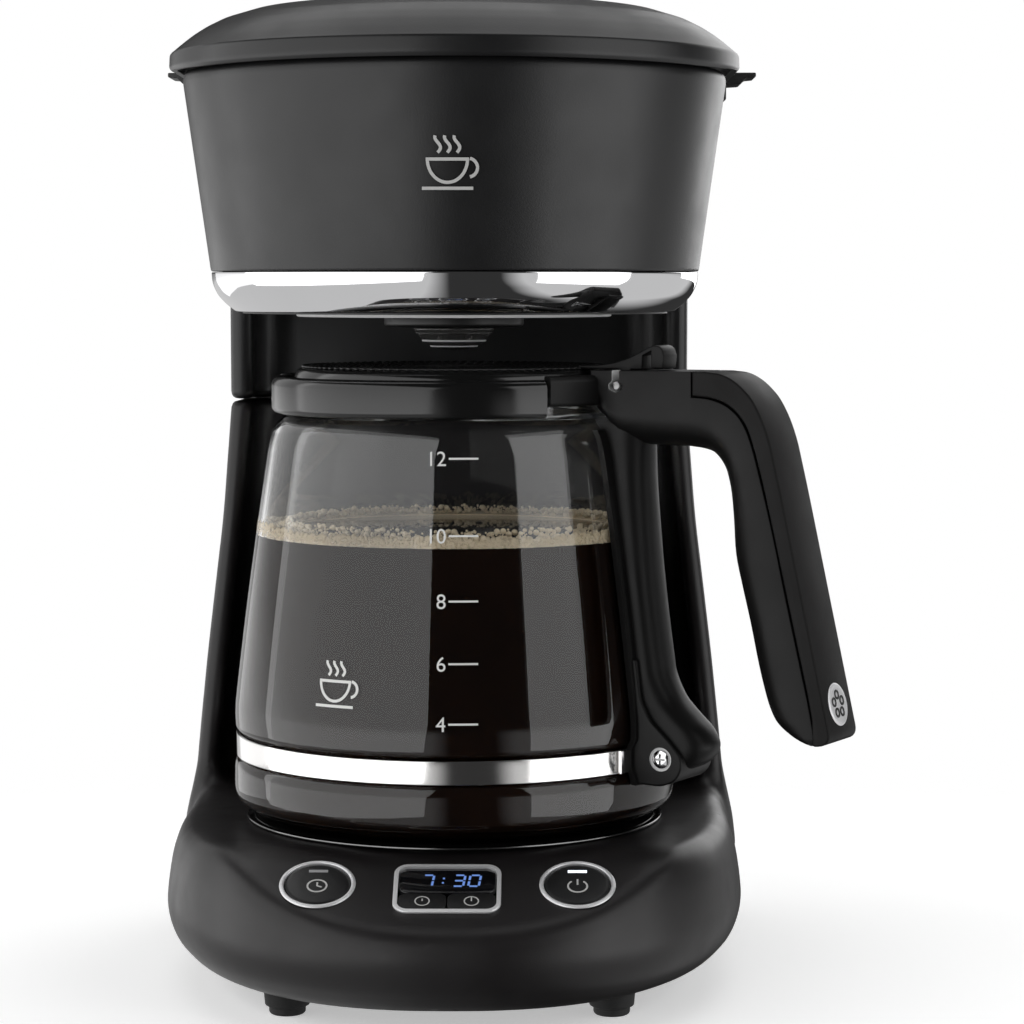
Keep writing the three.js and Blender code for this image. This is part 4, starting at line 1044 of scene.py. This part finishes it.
def make_handle():
    arm = [(58, ARM_TOP, 58, 191.2, 10.9), (61, ARM_TOP, 61, 188.8, 11), (64, ARM_TOP, 64, 183.6, 11),
           (67.5, ARM_TOP, 67.5, 181.3, 11), (82, ARM_TOP, 80, 181.2, 11), (94, ARM_TOP, 89, 181.1, 11)]
    bend = [(94.1, 197.2, 90, 181, 11), (100, 196.7, 95, 180.4, 11), (105.6, 195, 98.5, 179.3, 11),
            (110.2, 191.7, 101.3, 176.8, 11), (113.3, 187.2, 103.3, 173.5, 11), (115.5, 181.6, 104.3, 170, 11),
            (117.3, 175.5, 105, 166, 11), (120.7, 163, 105.7, 158, 11), (123.9, 150, 106.5, 147, 11),
            (127, 136.4, 108.8, 137, 11), (129.6, 125.5, 111.7, 125.5, 11), (132.7, 112.6, 114.6, 112.6, 11),
            (134.8, 104, 116.9, 104, 11), (136.1, 98, 118.8, 98.4, 11), (136.9, 94, 121.2, 94.2, 11),
            (137.2, 91.6, 124.6, 91.4, 10.9), (137.3, 90, 128.6, 89.3, 10.8), (137.2, 88.8, 131.4, 88.5, 10.4),
            (137, 88.1, 134, 88, 9.6)]
    body = strake("handle_grip_body", [*arm, *smooth_path(bend, 4)], 10.5, grip_black)
    slot_shape = closed([(65.7, ARM_TOP + 1), (68.3, ARM_TOP + 1), (68.3, 202), (69.6, 200.9), (69.4, 199.3), (67, 198.2),
                         (64.6, 199.3), (64.4, 200.9), (65.7, 202)], 0.4, 3)
    carve(body, [block((50, -5, 196.5), (72.4, 5, 220), in_carafe), slab("cutter", slot_shape, -12, 12, None, in_carafe)],
          sharp=42)
    put(body, "carafe", "handle_grip", "handle_spine", slot="handle_black")

    outside = [(94.3, ARM_TOP), *smooth_path([(99, ARM_TOP), (104.6, 204.7), (109.1, 202.6), (113, 199.4), (116.1, 195.7),
                                              (119.2, 189.9), (121.6, 183.4), (123.3, 176.8), (126.6, 163),
                                              (reach(136), 136), (reach(112), 112), (reach(96), 96)], 6),
               *bezier((reach(93), 93), (reach(87) - 0.2, HANDLE_END), (137, HANDLE_END), 9)]
    inside = [(u + 0.12, z + 0.15) for u, z in seam_line][::-1]
    strip = slab("handle_cover_strip", [*outside, *inside], -11, 11, cover_grey, in_carafe, soften=0.7)
    put(strip, "carafe", "handle_cover", slot="handle_cover")

    lean = math.atan(0.228)
    out_u, out_z = (math.cos(lean), math.sin(lean))
    def on_strip(p):
        u = reach(100.5) + p[:, 2] * out_u - p[:, 1] * out_z
        z = 100.5 + p[:, 2] * out_z + p[:, 1] * out_u
        return in_carafe(np.stack([u, p[:, 0], z], axis=1))
    disc = rounded([(0, -0.5), (6.9, -0.5), (6.9, 0.15), (6.2, 0.4), (5.6, 0.25), (0, 0.25)], 0.25, 3)
    put(lathe("handle_badge_disc", disc, ring_silver, 64, on_strip), "carafe", "handle_badge", slot="steel")
    petals = []
    for k in range(5):
        turn = math.radians(90 + 72 * k)
        middle = (3.1 * math.cos(turn), 3.1 * math.sin(turn))
        petals.append(fine(arc(1.25, 0, 360, middle, 20)))
    put(stroke("handle_badge_mark", petals, 0.7, inner_black, on_strip, 0.2, 0.42), "carafe")


def make_spine():
    table = [(190, 75.2), (181, 75), (170, 75.2), (158, 76), (140, 77.6), (124, 79.6), (112, 81.4), (106, 82.6),
             (99, 86.4), (93.4, 91.8), (89, 96.4), (84.5, 98.6), (81, 97.6), (78, 94.6), (75.8, 89.5), (74.6, 82)]
    stations = [(float(glass_radius(z)) + 1.2, z, u, z, 9.6) for z, u in table]
    spine = strake("handle_spine_body", smooth_path(stations, 4), 8.6, grip_black)

    def plate_row(z, spread, thick):
        radius = float(glass_radius(z)) + 0.4
        turns = np.linspace(-1, 1, 17) * spread / radius
        inner = [(radius * math.cos(t), radius * math.sin(t), z) for t in turns]
        outer = [((radius + thick) * math.cos(t), (radius + thick) * math.sin(t), z) for t in turns[::-1]]
        return [*inner, *outer]
    heights = [*np.linspace(71, 186, 40)]
    rows = [plate_row(z, 12.6, 2.2) for z in heights]
    count = len(rows[0])
    faces = [(k * count + j, k * count + (j + 1) % count, (k + 1) * count + (j + 1) % count, (k + 1) * count + j)
             for k in range(len(rows) - 1) for j in range(count)]
    faces += [tuple(range(count)), tuple(range((len(rows) - 1) * count, len(rows) * count))]
    plate = make_object("handle_spine_plate", [p for row in rows for p in row], faces, grip_black, in_carafe, 38)
    put(plate, "carafe", "handle_spine", slot="gloss_black")

    lug = [(73.6, 71.4), (84, 71), (89.2, 72.9), (91.6, 77), (91.4, 81.2), (86.6, 86.4), (80, 92.4), (76.6, 99),
           (75, 112), (72.8, 112)]
    lugs = slab("handle_spine_lug", closed(lug, 2.4, 5), -11.6, 11.6, grip_black, in_carafe, soften=0.9)
    hole = [(0, -20), (1.9, -20), (1.9, 20), (0, 20)]
    seat = [(0, -20), (3.9, -20), (3.9, -10.9), (0, -10.9)]
    carve(lugs, [cross_rod("cutter", hole, (84, 80), None, in_carafe), cross_rod("cutter", seat, (84, 80), None, in_carafe)])
    put(lugs, "carafe", "handle_spine", slot="gloss_black")
    put(spine, "carafe", "handle_spine", slot="gloss_black")

    for side in (-1, 1):
        turns = np.linspace(math.radians(8), math.radians(29.3), 24) * side
        section = closed([(57.6, 193.9), (60.8, 193.9), (61.6, 194.8), (61.6, 202.4), (60.4, 203.8), (57.6, 203.8)], 0.9, 4)
        points = [(r * math.cos(t), r * math.sin(t), z) for t in turns for r, z in section]
        count = len(section)
        faces = [(k * count + j, k * count + (j + 1) % count, (k + 1) * count + (j + 1) % count, (k + 1) * count + j)
                 for k in range(len(turns) - 1) for j in range(count)]
        faces += [tuple(range(count)), tuple(range((len(turns) - 1) * count, len(turns) * count))]
        wing = make_object(f"handle_spine_wing_{'near' if side < 0 else 'far'}", points, faces, grip_black, in_carafe, 38)
        put(wing, "carafe", "handle_spine", slot="gloss_black")

    head_shape = rounded([(0, -12.1), (1.8, -12), (3.1, -11.4), (3.1, -10.8), (1.5, -10.8), (1.5, 4), (0, 4)], 0.4, 3)
    screw = cross_rod("band_screw_head", head_shape, (84, 80), chrome, in_carafe)
    at_screw = lambda p: in_carafe(p + np.array([84, 0, 80]))
    carve(screw, [block((-0.4, -13, -1.8), (0.4, -11.2, 1.8), at_screw), block((-1.8, -13, -0.4), (1.8, -11.2, 0.4), at_screw)])
    put(screw, "carafe", "band_screw", slot="steel")
    rod_profile = rounded([(0, -10.9), (1.5, -10.9), (1.5, 10.9), (0, 10.9)], 0.4, 3)
    put(cross_rod("lid_pin_rod", rod_profile, (67, 200.5), gunmetal, in_carafe), "carafe", "lid_pivot_pin", slot="steel")


def make_band():
    band = closed([(72.85, 75.2), (73.9, 75.2), (73.9, 82.9), (72.85, 82.9)], 0.35, 4)
    put(lathe("carafe_band_loop", band, band_steel, 192, in_carafe, ring=True), "carafe", "carafe_band", slot="band_steel")
    clasp = slab("band_clasp", closed([(72.9, -18), (74.3, -18), (75.2, -11.6), (73.4, -11.6)], 0.3), 75.4, 82.7, band_steel,
                 lambda p: in_carafe(np.stack([p[:, 0] - 1.0, p[:, 2], p[:, 1]], axis=1)))
    put(clasp, "carafe")


def make_collar():
    ring = closed([(57.1, 190.2), (60.4, 190.2), (61.5, 191.6), (61.5, 200.6), (60, 202.6), (57.1, 202.6)], 1.3, 5)
    collar = lathe("carafe_collar_ring", ring, gloss_black, 160, in_carafe, ring=True)
    spout = slab("cutter", [(-59, 195.5), (-65.8, 201.3), (-65, 202.6), (-59, 202.6)], -8, 8, None, in_carafe, soften=0.8)
    carve(collar, [spout], "UNION")
    wedge = [(0, 0), (90 * math.cos(0.532), -90 * math.sin(0.532)), (120, 0), (90 * math.cos(0.532), 90 * math.sin(0.532))]
    carve(collar, [slab("cutter", wedge, 180, 215, None, in_carafe, plane="xy")])
    put(collar, "carafe", "carafe_collar", slot="gloss_black")


def make_carafe_lid():
    top = [(0, 203), (30, 202.6), (46, 201.2), (49, 196), (53.6, 196), (53.9, 197), (53.7, 203), (52.4, 205.1), (49, 205.6),
           (0, 206)]
    lid = lathe("carafe_lid_disc", rounded(top, 1.5, 4), gloss_black, 128, in_carafe)
    carve(lid, [rod(4, 190, 210, (0, 0), in_carafe)])
    put(lid, "carafe_lid", "carafe_lid", slot="gloss_black")
    studs = []
    for ring_number, radius in enumerate(np.arange(16, 50.5, 2.3)):
        count = int(radius * 2)
        for k in range(count):
            turn = 2 * math.pi * (k + ring_number % 2 / 2) / count
            studs.append((radius * math.cos(turn), radius * math.sin(turn), 205.75, 0.85))
    put(sphere_cloud("carafe_lid_studs", studs, 2, gloss_black, 0.7), "carafe_lid")

    outline = [(50, 205.6), (64.6, 205.6), (66, 201.5), (68, 201.5), (69.4, 205.6), (73.4, 205.6), (73.6, 210.2),
               (76.6, 211.6), (76.6, 206), (81, 206),
               *smooth_path([(81.4, 210.2), (80.4, 212.6), (78.4, 213.5), (76, 213), (72.6, 211.3), (68.4, 209.4),
                             (63, 207.8), (57, 207), (50, 206.8)], 4)]
    lever = slab("thumb_lever_body", outline, -4.8, 4.8, grip_black, in_carafe, soften=0.45)
    hub = cross_rod("cutter", [(0, -4.2), (3.2, -4.2), (3.2, 4.2), (0, 4.2)], (67, 200.5), None, in_carafe)
    carve(lever, [hub], "UNION")
    carve(lever, [cross_rod("cutter", [(0, -9), (1.9, -9), (1.9, 9), (0, 9)], (67, 200.5), None, in_carafe)])
    put(lever, "carafe_lid", "thumb_lever", slot="gloss_black")


make_lower_housing()
make_neck()
make_head()
make_lid()
make_hinge_ears()
make_underside()
make_hotplate()
make_buttons()
make_display()
make_brewing()
make_glass()
make_coffee()
make_marks()
make_emblems()
make_handle()
make_spine()
make_band()
make_collar()
make_carafe_lid()

# CAD nodes that keep their own shape get their finishes here.
for node, material in {
    "base_plate": inner_black, "water_tank": smoky, "riser_tube": milky, "inlet_hose": milky, "check_valve": milky,
    "heater_tube": aluminium, "thermostat": ceramic, "thermal_fuse": aluminium, "display_module": inner_black,
    "control_board": board_green, "drip_stop_spring": steel,
}.items():
    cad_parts[node].material_slots[0].material = material

# ---------- Floor ----------

floor_mesh = bpy.data.meshes.new("floor")
floor_mesh.from_pydata([(-1, -0.5, 0), (1, -0.5, 0), (1, 0.5, 0), (-1, 0.5, 0)], [], [(0, 1, 2, 3)])
floor = bpy.data.objects.new("floor", floor_mesh)
bpy.context.scene.collection.objects.link(floor)


def floor_material():
    """White paper that keeps a soft shadow near the machine and fades out to the white studio."""
    material, tree, shader = new_material("floor_white")
    path = tree.nodes.new("ShaderNodeLightPath")

    def scaled(source, factor, offset):
        node = tree.nodes.new("ShaderNodeMath")
        node.operation = "MULTIPLY_ADD"
        node.inputs[1].default_value = factor
        node.inputs[2].default_value = offset
        tree.links.new(source, node.inputs[0])
        return node.outputs["Value"]

    paper = tree.nodes.new("ShaderNodeMix")
    paper.data_type = "RGBA"
    share, first, second = (paper.inputs[k] for k in (0, 6, 7))
    second.default_value = (0.4, 0.4, 0.4, 1)
    tree.links.new(path.outputs["Is Diffuse Ray"], share)
    tree.links.new(ramp(tree, noise(tree, 3, 3), (0.88, 0.88, 0.88), (0.92, 0.92, 0.92)), first)
    tree.links.new(paper.outputs[2], shader.inputs["Base Color"])
    shader.inputs["Roughness"].default_value = 0.7
    shader.inputs["Specular IOR Level"].default_value = 0.2
    shader.inputs["Emission Color"].default_value = (1, 1, 1, 1)
    tree.links.new(scaled(path.outputs["Is Camera Ray"], 0.4, 0.03), shader.inputs["Emission Strength"])
    coordinates = tree.nodes.new("ShaderNodeTexCoord")
    distance = tree.nodes.new("ShaderNodeVectorMath")
    distance.operation = "LENGTH"
    fade = tree.nodes.new("ShaderNodeMapRange")
    fade.interpolation_type = "SMOOTHSTEP"
    fade.inputs["From Min"].default_value = 0.2
    fade.inputs["From Max"].default_value = 0.38
    clear = tree.nodes.new("ShaderNodeBsdfTransparent")
    mix = tree.nodes.new("ShaderNodeMixShader")
    narrow = tree.nodes.new("ShaderNodeMapping")
    narrow.inputs["Scale"].default_value = (0.5, 1, 1)
    tree.links.new(coordinates.outputs["Object"], narrow.inputs["Vector"])
    tree.links.new(narrow.outputs["Vector"], distance.inputs[0])
    tree.links.new(distance.outputs["Value"], fade.inputs["Value"])
    unseen = tree.nodes.new("ShaderNodeMath")
    unseen.operation = "MAXIMUM"
    tree.links.new(fade.outputs["Result"], unseen.inputs[0])
    tree.links.new(path.outputs["Is Glossy Ray"], unseen.inputs[1])
    tree.links.new(unseen.outputs["Value"], mix.inputs["Fac"])
    tree.links.new(shader.outputs["BSDF"], mix.inputs[1])
    tree.links.new(clear.outputs["BSDF"], mix.inputs[2])
    tree.links.new(mix.outputs["Shader"], tree.nodes["Material Output"].inputs["Surface"])
    return material


floor_mesh.materials.append(floor_material())
